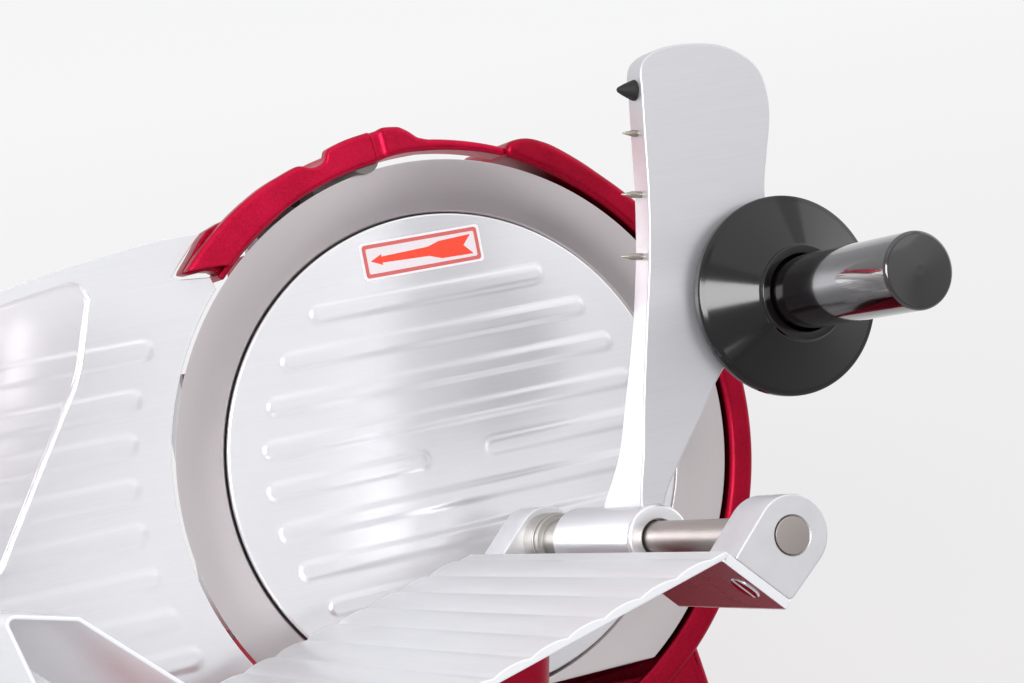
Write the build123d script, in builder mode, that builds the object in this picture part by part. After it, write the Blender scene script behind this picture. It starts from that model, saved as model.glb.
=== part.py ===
from build123d import *
import os
from math import cos, radians, sin

os.makedirs("parts", exist_ok=True)

# Gravity-feed meat slicer, in millimetres, +Z up.
#
# Two sets of directions are used, both measured from the centre of the blade:
#   u, v, n   along the carriage travel, up the blade, and out of the blade towards the food
#   x, y, z   along the carriage travel, towards the slice side, and up from the table

# ---------------------------------------------------------------- driving dimensions
TILT = 26                        # lean of the blade from the vertical, degrees
BLADE_X, BLADE_Y, BLADE_Z = 91, 33.1, 215
BLADE_R = 125
COVER_R = 102.2
COVER_FACE, COVER_BACK = -3, -5
RING_IN_R, RING_OUT_R = 127, 138
RING_FRONT = 2.6                 # the ring guard stands this far in front of the blade's edge
TUB_BACK, TUB_WALL = -46, 6      # rear wall of the blade housing, along n
WALL = 4

FOOT_H = 14
BASE_TOP = 70
BASE_LEFT, BASE_RIGHT = -245, 118
BASE_FRONT, BASE_REAR = -150, 175
NOTCH_LEFT, NOTCH_RIGHT, NOTCH_REAR, NOTCH_TOP = -209, 82, -98, 62
CAVITY_FRONT = NOTCH_REAR + WALL

MOTOR_U, MOTOR_V = 40, -105
MOTOR_R, MOTOR_LENGTH, MOTOR_SHAFT_R = 40, 100, 5
BELT_FRONT, BELT_BACK = -24, -34
BELT_WHEEL_R, BELT_PINION_R, BELT_THICK = 59, 12, 2.5
BELT_GAP = 0.5                   # between the belt and the bottoms of the pulleys

RUNNING_FIT = 0.06
RAIL_Y, RAIL_Z, RAIL_R = -124, 40, 10
ROD_U, ROD_V, ROD_R = 11.6, -40.7, 6.5
BUSH_R = 8.6
HUB_R = 13
LUG_U, LUG_V, LUG_R = 11.9, -40.3, 13.6

TRAY_NEAR, TRAY_FAR = 22, 245   # the two ends of the food tray, along n
FLOOR_SHEET, FENCE_SHEET = 2.2, 1.4
FLOOR_WAVES, WAVE_HEIGHT = 10, 1.1
FLANGE_DROP, FLANGE_LENGTH, FLANGE_SHEET = -46, 30, 3.4

ARM_BACK, ARM_FRONT = 128, 140
GRIP_U, GRIP_V, GRIP_R, GRIP_END = 84.5, 38.8, 14.2, 241


KNOB_SWEEP = 300                 # turn of the thickness knob, degrees
SHAFT_V, SHAFT_N, SHAFT_R = -164, -64, 4
CAM_R = 20

tilt = radians(TILT)
FOOD_WAY = (0, -cos(tilt), sin(tilt))


# ---------------------------------------------------------------- planes and helpers
def blade_point(u, v, n):
    """The point that lies u, v and n from the centre of the blade."""
    y = v * sin(tilt) - n * cos(tilt)
    z = v * cos(tilt) + n * sin(tilt)
    return Vector(BLADE_X + u, BLADE_Y + y, BLADE_Z + z)


def blade_plane(n):
    """Parallel to the blade; sketch x is u and sketch y is v."""
    return Plane(origin=blade_point(0, 0, n), x_dir=(1, 0, 0), z_dir=FOOD_WAY)


def turning_plane(u=0, v=0):
    """Through an axis along n; sketch x is the radius and sketch y is n."""
    return Plane(origin=blade_point(u, v, 0), x_dir=(1, 0, 0), z_dir=(0, -sin(tilt), -cos(tilt)))


def deck(z):
    """Level, at height z; sketch x and y are measured from below the blade's centre."""
    return Plane(origin=(BLADE_X, BLADE_Y, z))


def side(x):
    """Upright, facing +X; sketch x is y and sketch y is z."""
    return Plane(origin=(BLADE_X + x, BLADE_Y, 0), x_dir=(0, 1, 0), z_dir=(1, 0, 0))


def front(y):
    """Upright, facing the food side; sketch x is x and sketch y is z."""
    return Plane(origin=(BLADE_X, BLADE_Y + y, 0), x_dir=(1, 0, 0), z_dir=(0, -1, 0))


def keep(piece, name):
    """Label a finished piece and write it as one STEP file."""
    piece.part.label = name
    export_step(piece.part, f"parts/{name}.step")


def patch(left, right, low, high, corner=0, mode=Mode.ADD):
    """A rectangle between these limits, in the open sketch."""
    with Locations(((left + right) / 2, (low + high) / 2)):
        if corner:
            RectangleRounded(right - left, high - low, corner, mode=mode)
        else:
            Rectangle(right - left, high - low, mode=mode)


def outline(*points, mode=Mode.ADD):
    """A straight-sided shape through these points, in the open sketch."""
    with BuildLine() as border:
        Polyline(*points, close=True)
    make_face(border.edges(), mode=mode)


def polar(radius, angle):
    """The point at a radius and an angle in degrees."""
    return (radius * cos(radians(angle)), radius * sin(radians(angle)))


def ring_arc(radius, start, end):
    """An arc about the sketch's origin, between two angles in degrees."""
    return ThreePointArc(polar(radius, start), polar(radius, (start + end) / 2), polar(radius, end))


def ring_sector(inner, outer, start, end, mode=Mode.ADD):
    """A piece of a ring about the sketch's origin."""
    with BuildLine() as border:
        ring_arc(inner, start, end)
        ring_arc(outer, start, end)
        Line(polar(inner, start), polar(outer, start))
        Line(polar(inner, end), polar(outer, end))
    make_face(border.edges(), mode=mode)


def turn(*profile, u=0, v=0, mode=Mode.ADD):
    """Turn a profile of (radius, n) points about an axis along n."""
    with BuildSketch(turning_plane(u, v)) as section:
        outline(*profile)
    revolve(section.sketch, axis=Axis(blade_point(u, v, 0), FOOD_WAY), mode=mode)


def parallel(points, distances):
    """The same open path with each leg moved sideways to its left by its own distance."""
    legs = [(Vector(*b) - Vector(*a)).normalized() for a, b in zip(points, points[1:])]
    lefts = [Vector(-leg.Y, leg.X) for leg in legs]
    moved = [Vector(*points[0]) + lefts[0] * distances[0]]
    for index, corner in enumerate(points[1:-1]):
        before, after = lefts[index], lefts[index + 1]
        first, second = distances[index], distances[index + 1]
        lean = before.dot(after)
        mitre = before * (first - second * lean) + after * (second - first * lean)
        moved.append(Vector(*corner) + mitre / (1 - lean**2))
    moved.append(Vector(*points[-1]) + lefts[-1] * distances[-1])
    return [(point.X, point.Y) for point in moved]


# ---------------------------------------------------------------- base
KNOB_Y = SHAFT_V * sin(tilt) - SHAFT_N * cos(tilt)
KNOB_Z = BLADE_Z + SHAFT_V * cos(tilt) + SHAFT_N * sin(tilt)
BUTTONS_Y, BUTTON_Z, BUTTON_R = (58, 86), 43, 8.5
GLAND_X, GLAND_Z, GLAND_R = 60, 38, 7
LEG_SLOT = (-195, -165, -70, -32)
BOSSES = [(-225, -60), (-225, 120), (-30, 155), (98, 120), (98, -75), (-70, -84)]
MOTOR_OPENING_Y = 57.4           # where the motor's centre line meets the top of the base
FEET = {"foot_front_left": (-222, -126), "foot_front_right": (95, -126),
        "foot_rear_left": (-218, 148), "foot_rear_right": (91, 148)}
PLATE_TOP = FOOT_H + 2

with BuildPart() as base_casting:
    with BuildSketch(deck(FOOT_H)):
        patch(BASE_LEFT, BASE_RIGHT, BASE_FRONT, BASE_REAR, 38)
    extrude(amount=BASE_TOP - FOOT_H)
    fillet(base_casting.edges().group_by(Axis.Z)[-1], 9)
    with BuildSketch(deck(FOOT_H)):
        patch(BASE_LEFT + WALL, BASE_RIGHT - WALL, CAVITY_FRONT, BASE_REAR - WALL, 30)
    extrude(amount=BASE_TOP - FOOT_H - WALL, mode=Mode.SUBTRACT)
    # the carriage runs in a notch along the food side
    with BuildSketch(deck(FOOT_H)):
        patch(NOTCH_LEFT, NOTCH_RIGHT, BASE_FRONT - 5, NOTCH_REAR)
    extrude(amount=NOTCH_TOP - FOOT_H, mode=Mode.SUBTRACT)
    # the top opens round the lower half of the motor and the leg of the gauge plate
    with BuildSketch(deck(BASE_TOP - WALL - 1)):
        with Locations((MOTOR_U, MOTOR_OPENING_Y)):
            Ellipse(MOTOR_R + 1.2, MOTOR_R / sin(tilt) + 9)
        patch(MOTOR_U - 60, MOTOR_U + 60, -24, 108, mode=Mode.INTERSECT)
        patch(*LEG_SLOT)
    extrude(amount=WALL + 2, mode=Mode.SUBTRACT)
    with BuildSketch(deck(PLATE_TOP)):
        with Locations(*BOSSES):
            Circle(5.5)
    extrude(amount=BASE_TOP - WALL - PLATE_TOP)
    with BuildSketch(deck(PLATE_TOP)):
        with Locations(*BOSSES):
            Circle(2)
    extrude(amount=12, mode=Mode.SUBTRACT)
    # bores for the carriage rail, the knob's shaft, the push buttons and the mains lead
    with BuildSketch(side(BASE_LEFT - 1)):
        with Locations((RAIL_Y, RAIL_Z)):
            Circle(RAIL_R)
    extrude(amount=BASE_RIGHT - BASE_LEFT + 2, mode=Mode.SUBTRACT)
    with BuildSketch(side(BASE_LEFT - 1)):
        with Locations((KNOB_Y, KNOB_Z)):
            Circle(SHAFT_R + RUNNING_FIT)
        with Locations(*[(y, BUTTON_Z) for y in BUTTONS_Y]):
            Circle(BUTTON_R + 0.5)
    extrude(amount=WALL + 2, mode=Mode.SUBTRACT)
    with BuildSketch(front(BASE_REAR + 1)):
        with Locations((GLAND_X, GLAND_Z)):
            Circle(GLAND_R)
    extrude(amount=WALL + 2, mode=Mode.SUBTRACT)
keep(base_casting, "base_casting")

with BuildPart() as bottom_plate:
    with BuildSketch(deck(FOOT_H)):
        patch(BASE_LEFT + WALL, BASE_RIGHT - WALL, CAVITY_FRONT, BASE_REAR - WALL, 30)
        with Locations(*BOSSES):
            Circle(2, mode=Mode.SUBTRACT)
        with Locations((MOTOR_U, 60)):
            with GridLocations(0, 12, 1, 7):
                SlotOverall(70, 5, mode=Mode.SUBTRACT)
    extrude(amount=PLATE_TOP - FOOT_H)
keep(bottom_plate, "bottom_plate")

with BuildPart() as bottom_screws:
    with BuildSketch(deck(FOOT_H)):
        with Locations(*BOSSES):
            Circle(2)
    extrude(amount=12)
    with BuildSketch(deck(FOOT_H)):
        with Locations(*BOSSES):
            Circle(3.8)
    extrude(amount=-2.4)
keep(bottom_screws, "bottom_screws")

for name, (x, y) in FEET.items():
    with BuildPart() as foot:
        with BuildSketch(Plane(origin=(BLADE_X + x, BLADE_Y + y, 0), x_dir=(1, 0, 0), z_dir=(0, -1, 0))):
            outline((0, 3), (9, 3), (12, 0), (17, 0), (17, 3), (13.5, FOOT_H), (0, FOOT_H))
        revolve(axis=Axis((BLADE_X + x, BLADE_Y + y, 0), (0, 0, 1)))
    keep(foot, name)

with BuildPart() as carriage_rail:
    with BuildSketch(side(BASE_LEFT + 2)):
        with Locations((RAIL_Y, RAIL_Z)):
            Circle(RAIL_R)
    extrude(amount=BASE_RIGHT - BASE_LEFT - 4)
keep(carriage_rail, "carriage_rail")

GUIDE_LOW, GUIDE_HIGH, GUIDE_FACE = 20, 30, NOTCH_REAR - 6
with BuildPart() as guide_rail:
    with BuildSketch(side(NOTCH_LEFT)):
        patch(GUIDE_FACE, NOTCH_REAR, GUIDE_LOW, GUIDE_HIGH)
    extrude(amount=NOTCH_RIGHT - NOTCH_LEFT)
keep(guide_rail, "guide_rail")

with BuildPart() as cable_gland:
    with BuildSketch(Plane(origin=(BLADE_X + GLAND_X, BLADE_Y, GLAND_Z), x_dir=(0, 0, 1), z_dir=(1, 0, 0))):
        outline((3.5, -168), (10, -168), (10, -171), (GLAND_R, -171), (GLAND_R, -175), (10, -175),
                (10, -181), (8.5, -183), (6.5, -189), (3.5, -189))
    revolve(axis=Axis((BLADE_X + GLAND_X, BLADE_Y, GLAND_Z), (0, 1, 0)))
keep(cable_gland, "cable_gland")

# ---------------------------------------------------------------- switch and its two push buttons
BUTTON_TRAVEL = 3
with BuildPart() as switch_plate:
    with BuildSketch(side(BASE_LEFT - 1.5)):
        patch(42, 102, 28, 58, 6)
        with Locations(*[(y, BUTTON_Z) for y in BUTTONS_Y]):
            Circle(BUTTON_R + 0.5, mode=Mode.SUBTRACT)
    extrude(amount=1.5)
keep(switch_plate, "switch_plate")

with BuildPart() as switch_housing:
    with BuildSketch(side(BASE_LEFT + WALL)):
        patch(45, 99, 31, 55)
    extrude(amount=28)
    with BuildSketch(side(BASE_LEFT + WALL)):
        with Locations(*[(y, BUTTON_Z) for y in BUTTONS_Y]):
            Circle(BUTTON_R + 0.5)
    extrude(amount=9, mode=Mode.SUBTRACT)
keep(switch_housing, "switch_housing")

for name, y in zip(("start_button", "stop_button"), BUTTONS_Y):
    with BuildPart() as button:
        with BuildSketch(side(BASE_LEFT - 5.5)):
            with Locations((y, BUTTON_Z)):
                Circle(BUTTON_R)
        extrude(amount=15)
        fillet(button.edges().group_by(Axis.X)[0], 1.5)
    keep(button, name)

# ---------------------------------------------------------------- blade housing with its ring guard
HUB_BOSS_R, HUB_BOSS_BACK = 24, -66
MOTOR_SCREWS = [(MOTOR_U + 24, MOTOR_V + 9), (MOTOR_U, MOTOR_V + 26), (MOTOR_U - 24, MOTOR_V + 9)]
SPINDLE_R = 10
with BuildPart() as blade_housing:
    with BuildSketch(blade_plane(TUB_BACK)):
        Circle(RING_OUT_R)
        outline((-72, 100), (150, 100), (150, -150), (-95, -150), (-95, -75), (-72, -60), mode=Mode.INTERSECT)
    extrude(amount=TUB_WALL)
    with BuildSketch(blade_plane(TUB_BACK)):
        ring_sector(RING_IN_R, RING_OUT_R, -128, 69)
    extrude(amount=RING_FRONT - TUB_BACK)
    with BuildSketch(blade_plane(TUB_BACK)):
        outline((-84, -100), (-78, -182), (104, -182), (97, -150), (93.6, -120.8), (91.7, -104.3))
        Circle(RING_IN_R, mode=Mode.SUBTRACT)
    extrude(amount=-TUB_BACK)
    with BuildSketch(blade_plane(TUB_BACK)):
        patch(-72, -67, -60, 100)
    extrude(amount=26)
    with BuildSketch(blade_plane(HUB_BOSS_BACK)):
        Circle(HUB_BOSS_R)
    extrude(amount=TUB_BACK - HUB_BOSS_BACK)
    with BuildSketch(blade_plane(HUB_BOSS_BACK - 1)):
        Circle(SPINDLE_R)
    extrude(amount=60, mode=Mode.SUBTRACT)
    with BuildSketch(blade_plane(TUB_BACK - 1)):
        with Locations((MOTOR_U, MOTOR_V)):
            Circle(14)
        with Locations(*MOTOR_SCREWS):
            Circle(2.5)
    extrude(amount=TUB_WALL + 2, mode=Mode.SUBTRACT)
    # the column is hollow between the walls that take its bolts
    with BuildSketch(blade_plane(TUB_BACK + 5)):
        patch(-52, 12, -183, -146)
        patch(34, 92, -183, -146)
    extrude(amount=-TUB_BACK - 10, mode=Mode.SUBTRACT)
    split(bisect_by=deck(BASE_TOP), keep=Keep.TOP)
    turn((RING_OUT_R - 2.6, RING_FRONT), (RING_OUT_R + 1, RING_FRONT), (RING_OUT_R + 1, 0), (RING_OUT_R, 0),
         mode=Mode.SUBTRACT)
keep(blade_housing, "blade_housing")

with BuildPart() as motor_cover:
    with BuildSketch(blade_plane(TUB_BACK)):
        with Locations((MOTOR_U, MOTOR_V)):
            Circle(MOTOR_R + 6)
    extrude(amount=-MOTOR_LENGTH - 8)
    fillet(motor_cover.edges().sort_by(Axis(blade_point(0, 0, 0), FOOD_WAY))[0], 12)
    with BuildSketch(blade_plane(TUB_BACK)):
        with Locations((MOTOR_U, MOTOR_V)):
            Circle(MOTOR_R + 2)
    extrude(amount=-MOTOR_LENGTH - 3, mode=Mode.SUBTRACT)
    split(bisect_by=deck(BASE_TOP), keep=Keep.TOP)
keep(motor_cover, "motor_cover")

with BuildPart() as motor:
    turn((MOTOR_SHAFT_R + RUNNING_FIT, TUB_BACK), (MOTOR_R - 2, TUB_BACK), (MOTOR_R, TUB_BACK - 2),
         (MOTOR_R, TUB_BACK - 24), (MOTOR_R - 3, TUB_BACK - 27), (MOTOR_R - 3, TUB_BACK - 73),
         (MOTOR_R, TUB_BACK - 76), (MOTOR_R, TUB_BACK - 96), (MOTOR_R - 4, TUB_BACK - MOTOR_LENGTH),
         (0, TUB_BACK - MOTOR_LENGTH), (0, TUB_BACK - 20), (MOTOR_SHAFT_R + RUNNING_FIT, TUB_BACK - 20),
         u=MOTOR_U, v=MOTOR_V)
    with BuildSketch(blade_plane(TUB_BACK)):
        with Locations(*MOTOR_SCREWS):
            Circle(2.5)
    extrude(amount=-10, mode=Mode.SUBTRACT)
keep(motor, "motor")

with BuildPart() as motor_screws:
    with BuildSketch(blade_plane(TUB_BACK + TUB_WALL)):
        with Locations(*MOTOR_SCREWS):
            Circle(2.5)
    extrude(amount=-TUB_WALL - 9)
    with BuildSketch(blade_plane(TUB_BACK + TUB_WALL)):
        with Locations(*MOTOR_SCREWS):
            Circle(4.4)
    extrude(amount=3)
keep(motor_screws, "motor_screws")

# ---------------------------------------------------------------- blade, its pulley and the belt drive
BLADE_SCREWS_R = 28
HUB_FACE, HUB_BACK = -12, -17
with BuildPart() as blade:
    turn((19, HUB_FACE), (60, HUB_FACE), (100, -9), (103.4, -4.4), (BLADE_R, -0.15), (BLADE_R, -0.45),
         (123, -2.4), (112, -8), (98, -13), (60, HUB_BACK), (19, HUB_BACK))
    with BuildSketch(blade_plane(HUB_BACK - 1)):
        with PolarLocations(BLADE_SCREWS_R, 4, 45):
            Circle(2.5)
    extrude(amount=7, mode=Mode.SUBTRACT)
    with BuildSketch(blade_plane(HUB_FACE - 3)):
        with PolarLocations(BLADE_SCREWS_R, 4, 45):
            Circle(5)
    extrude(amount=4, mode=Mode.SUBTRACT)
keep(blade, "blade")

wheel_groove = BELT_WHEEL_R - BELT_GAP
with BuildPart() as blade_pulley:
    turn((18.5, -37), (60.5, -37), (60.5, -35), (wheel_groove, -34.6), (wheel_groove, -23.4), (60.5, -23),
         (60.5, -21), (50, -21), (50, -31), (38, -31), (38, HUB_BACK), (18.5, HUB_BACK))
    with BuildSketch(blade_plane(HUB_BACK)):
        with PolarLocations(BLADE_SCREWS_R, 4, 45):
            Circle(2.5)
    extrude(amount=-10, mode=Mode.SUBTRACT)
keep(blade_pulley, "blade_pulley")

with BuildPart() as blade_screws:
    with BuildSketch(blade_plane(HUB_BACK - 9)):
        with PolarLocations(BLADE_SCREWS_R, 4, 45):
            Circle(2.5)
    extrude(amount=11)
    with BuildSketch(blade_plane(HUB_FACE - 3)):
        with PolarLocations(BLADE_SCREWS_R, 4, 45):
            Circle(5)
    extrude(amount=3)
keep(blade_screws, "blade_screws")

with BuildPart() as spindle_bearings:
    for back in (-36.5, -26.5):
        turn((SPINDLE_R + RUNNING_FIT, back), (18.5, back), (18.5, back + 9), (SPINDLE_R + RUNNING_FIT, back + 9))
keep(spindle_bearings, "spindle_bearings")

TIE_ROD_R = 4
with BuildPart() as spindle:
    turn((TIE_ROD_R + RUNNING_FIT, HUB_BOSS_BACK), (SPINDLE_R, HUB_BOSS_BACK), (SPINDLE_R, -16.9), (14, -16.9),
         (14, -13.5), (TIE_ROD_R + RUNNING_FIT, -13.5))
keep(spindle, "spindle")

with BuildPart() as drive_belt:
    with BuildSketch(blade_plane(BELT_BACK)):
        for extra, mode in ((BELT_THICK, Mode.ADD), (0, Mode.SUBTRACT)):
            with BuildSketch(blade_plane(BELT_BACK), mode=mode):
                Circle(BELT_WHEEL_R + extra)
                with Locations((MOTOR_U, MOTOR_V)):
                    Circle(BELT_PINION_R + extra)
                make_hull()
    extrude(amount=BELT_FRONT - BELT_BACK)
keep(drive_belt, "drive_belt")

pinion_groove = BELT_PINION_R - BELT_GAP
with BuildPart() as motor_pulley:
    turn((MOTOR_SHAFT_R, -37), (13.5, -37), (13.5, -35), (pinion_groove, -34.6), (pinion_groove, -23.4),
         (13.5, -23), (13.5, -21), (MOTOR_SHAFT_R, -21), u=MOTOR_U, v=MOTOR_V)
keep(motor_pulley, "motor_pulley")

with BuildPart() as motor_shaft:
    with BuildSketch(blade_plane(TUB_BACK - 19)):
        with Locations((MOTOR_U, MOTOR_V)):
            Circle(MOTOR_SHAFT_R)
    extrude(amount=46)
keep(motor_shaft, "motor_shaft")

# ---------------------------------------------------------------- cover disc over the middle of the blade
RIB_PITCH, RIB_WIDTH, RIB_CIRCLE = 17.2, 6.5, 88
with BuildPart() as blade_cover:
    turn((0, COVER_BACK), (COVER_R, COVER_BACK), (COVER_R, COVER_FACE - 0.8), (COVER_R - 1.5, COVER_FACE),
         (0, COVER_FACE))
    turn((0, COVER_BACK), (9, COVER_BACK), (9, -13.2), (0, -13.2))
    with BuildSketch(blade_plane(-13.5)):
        Circle(TIE_ROD_R + RUNNING_FIT)
    extrude(amount=6, mode=Mode.SUBTRACT)
    with BuildSketch(blade_plane(COVER_FACE)):
        for row in range(-4, 5):
            v = row * RIB_PITCH
            reach = (RIB_CIRCLE**2 - v**2) ** 0.5
            spans = ((-reach, reach),) if row else ((-reach, -13), (11, reach))
            for left, right in spans:
                with Locations(((left + right) / 2, v)):
                    SlotOverall(right - left, RIB_WIDTH)
    extrude(amount=1.6)
    chamfer(blade_cover.faces().sort_by(Axis(blade_point(0, 0, 0), FOOD_WAY))[-9:].edges(), 0.9)
keep(blade_cover, "blade_cover")

with BuildPart() as cover_tie_rod:
    turn((0, -84), (TIE_ROD_R, -84), (TIE_ROD_R, -9), (TIE_ROD_R - 1, -8), (0, -8))
keep(cover_tie_rod, "cover_tie_rod")

KNOB_BACK = HUB_BOSS_BACK - 24
with BuildPart() as tie_rod_knob:
    turn((0, KNOB_BACK), (15, KNOB_BACK), (17, KNOB_BACK + 2), (17, -74), (11, -70), (11, HUB_BOSS_BACK - 0.4),
         (TIE_ROD_R, HUB_BOSS_BACK - 0.4), (TIE_ROD_R, -84), (0, -84))
    with BuildSketch(blade_plane(KNOB_BACK)):
        with PolarLocations(19.5, 8):
            Circle(4)
    extrude(amount=18, mode=Mode.SUBTRACT)
keep(tie_rod_knob, "tie_rod_knob")

# ---------------------------------------------------------------- sharpener over the top of the blade
SHARP_FRONT, SHARP_BACK = 5.6, -25
STONE_R, STONE_AT, STONE_ANGLE = 9.5, 127, 113
HONE_R, HONE_AT, HONE_ANGLE = 6.5, 130.5, 98.5
STONE_STEM_R, HONE_STEM_R = 3.5, 2.5
with BuildPart() as sharpener_cover:
    with BuildSketch(blade_plane(SHARP_BACK)):
        with BuildLine():
            crest = ring_arc(142, 138.2, 118)
            saddle = Spline(crest @ 1, polar(139.4, 112), polar(136.8, 107), polar(138, 102.5), polar(140.4, 97),
                            polar(140.3, 92), polar(134.4, 88), polar(133.2, 84))
            bridge_top = ring_arc(133.2, 84, 69.6)
            bridge_under = ring_arc(128.6, 69.6, 94)
            lip = ring_arc(127, 97, 133)
            Line(bridge_top @ 1, bridge_under @ 0)
            Line(bridge_under @ 1, lip @ 0)
            Line(lip @ 1, crest @ 0)
        make_face()
    extrude(amount=SHARP_FRONT - SHARP_BACK)
    with BuildSketch(blade_plane(SHARP_BACK)):
        ring_sector(120, 137.2, 109.5, 131.5)
        ring_sector(120, 134, 103, 110)
        ring_sector(120, 137.4, 94.5, 103.1)
    extrude(amount=SHARP_FRONT - SHARP_BACK - 1.6, mode=Mode.SUBTRACT)
keep(sharpener_cover, "sharpener_cover")

with BuildPart() as sharpener_frame:
    with BuildSketch(blade_plane(TUB_BACK + TUB_WALL)):
        ring_sector(112, 136, 95.5, 122)
        patch(-64, -14, 84, 114)
        Circle(136, mode=Mode.INTERSECT)
    extrude(amount=5)
    with BuildSketch(blade_plane(-35)):
        ring_sector(118, 136, 109.6, 122)
        ring_sector(118, 134, 102, 111)
        ring_sector(118, 136, 95.5, 103)
    extrude(amount=19)
    with BuildSketch(blade_plane(TUB_BACK)):
        with Locations(polar(STONE_AT, STONE_ANGLE)):
            Circle(STONE_STEM_R + RUNNING_FIT)
        with Locations(polar(HONE_AT, HONE_ANGLE)):
            Circle(HONE_STEM_R + RUNNING_FIT)
    extrude(amount=40, mode=Mode.SUBTRACT)
keep(sharpener_frame, "sharpener_frame")

stone_u, stone_v = polar(STONE_AT, STONE_ANGLE)
hone_u, hone_v = polar(HONE_AT, HONE_ANGLE)
with BuildPart() as grinding_button:
    turn((0, -60), (7, -60), (8, -59), (8, -52), (STONE_STEM_R, -50), (STONE_STEM_R, -14.2), (5, -14.2), (5, -13.8),
         (2.5, -13.8), (2.5, -7.6), (0, -7.6), u=stone_u, v=stone_v)
keep(grinding_button, "grinding_button")

with BuildPart() as grinding_wheel:
    turn((2.5 + RUNNING_FIT, -13.6), (STONE_R - 1, -13.6), (STONE_R, -12.6), (STONE_R, -7.6), (STONE_R - 0.6, -7),
         (2.5 + RUNNING_FIT, -7), u=stone_u, v=stone_v)
keep(grinding_wheel, "grinding_wheel")

with BuildPart() as deburring_button:
    turn((0, -60), (6, -60), (7, -59), (7, -52), (HONE_STEM_R, -50), (HONE_STEM_R, 1.2), (1.5, 1.2), (1.5, 3.4),
         (0, 3.4), u=hone_u, v=hone_v)
keep(deburring_button, "deburring_button")

with BuildPart() as deburring_wheel:
    turn((1.5 + RUNNING_FIT, 1.6), (HONE_R, 1.6), (HONE_R, 3.2), (1.5 + RUNNING_FIT, 3.2), u=hone_u, v=hone_v)
keep(deburring_wheel, "deburring_wheel")

# ---------------------------------------------------------------- slice deflector behind the cutting edge
DEFLECTOR_SHEET = 1.5
with BuildPart() as slice_deflector:
    with BuildSketch(Plane(origin=blade_point(0, -55, 0), x_dir=(1, 0, 0), z_dir=(0, sin(tilt), cos(tilt)))):
        with BuildLine():
            lead = ThreePointArc((-112, 10.5), (-102.5, 28), (-99, 48))
            tail = Line(lead @ 1, (-99, 84))
            back_tail = Line((-99 + DEFLECTOR_SHEET, 84), (-99 + DEFLECTOR_SHEET, 48))
            back_lead = ThreePointArc(back_tail @ 1, (-101, 27.5), (-110.5, 10.5))
            Line(tail @ 1, back_tail @ 0)
            Line(back_lead @ 1, lead @ 0)
        make_face()
    extrude(amount=110)
    with BuildSketch(blade_plane(TUB_BACK)):
        patch(-98, -72, 26, 32)
        patch(-98, -72, -40, -34)
    extrude(amount=6)
keep(slice_deflector, "slice_deflector")

# ---------------------------------------------------------------- thickness gauge plate and what moves it
RIB_ROWS = (67, 48, 31, 13, -5, -24, -41, -58)
LEG_LEFT, LEG_RIGHT = -192, -168
BLOCK_LEFT, BLOCK_RIGHT, BLOCK_LOW, BLOCK_HIGH = -206, -154, -188, -172
GUIDE_RODS = [(-198, -180), (-162, -180)]
GUIDE_ROD_R = 4
FRAME_FRONT, FRAME_BACK = 8, -50
with BuildPart() as gauge_plate:
    with BuildSketch(blade_plane(-4)):
        with BuildLine():
            cut_side = ring_arc(127, 137, 228.4)
            # the plate steps round the tip of the sharpener's cover
            step = Polyline(cut_side @ 0, (-94.2, 91.2), (-107.4, 92.4), polar(145, 139.6))
            horn = ThreePointArc(step @ 1, polar(145, 135), (-94.5, 110))
            Line(horn @ 1, (-120, 109.6))
            crown = ThreePointArc((-120, 109.6), (-179, 101), (-240, 81.6))
            shoulder = ThreePointArc(crown @ 1, (-296, 53), (-320, 14))
            Polyline(shoulder @ 1, (-320, -85), (-310, -95), cut_side @ 1)
        make_face()
    extrude(amount=4)
    with BuildSketch(blade_plane(0)):
        for row in RIB_ROWS:
            right_end = -((140**2 - row**2) ** 0.5)
            with Locations(((-300 + right_end) / 2, row)):
                SlotOverall(300 + right_end, 9.5)
    extrude(amount=1.5)
    chamfer(gauge_plate.faces().sort_by(Axis(blade_point(0, 0, 0), FOOD_WAY))[-8:].edges(), 1.2)
keep(gauge_plate, "gauge_plate")

finger_back = SHAFT_N + CAM_R + 0.8
with BuildPart() as gauge_bracket:
    with BuildSketch(blade_plane(-9)):
        patch(-230, -130, -94, -60, 6)
    extrude(amount=5)
    with BuildSketch(blade_plane(-18)):
        patch(LEG_LEFT, LEG_RIGHT, BLOCK_HIGH - 1, -60)
    extrude(amount=9)
    with BuildSketch(blade_plane(-24)):
        patch(BLOCK_LEFT, BLOCK_RIGHT, BLOCK_LOW, BLOCK_HIGH)
        patch(BLOCK_RIGHT - 1, -143, BLOCK_LOW + 2, -166)
    extrude(amount=22)
    with BuildSketch(blade_plane(-24)):
        with Locations(*GUIDE_RODS):
            Circle(GUIDE_ROD_R + RUNNING_FIT)
    extrude(amount=22, mode=Mode.SUBTRACT)
    with BuildSketch(blade_plane(finger_back)):
        patch(-151, -143, -174, -160)
    extrude(amount=-20 - finger_back)
keep(gauge_bracket, "gauge_bracket")

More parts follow.
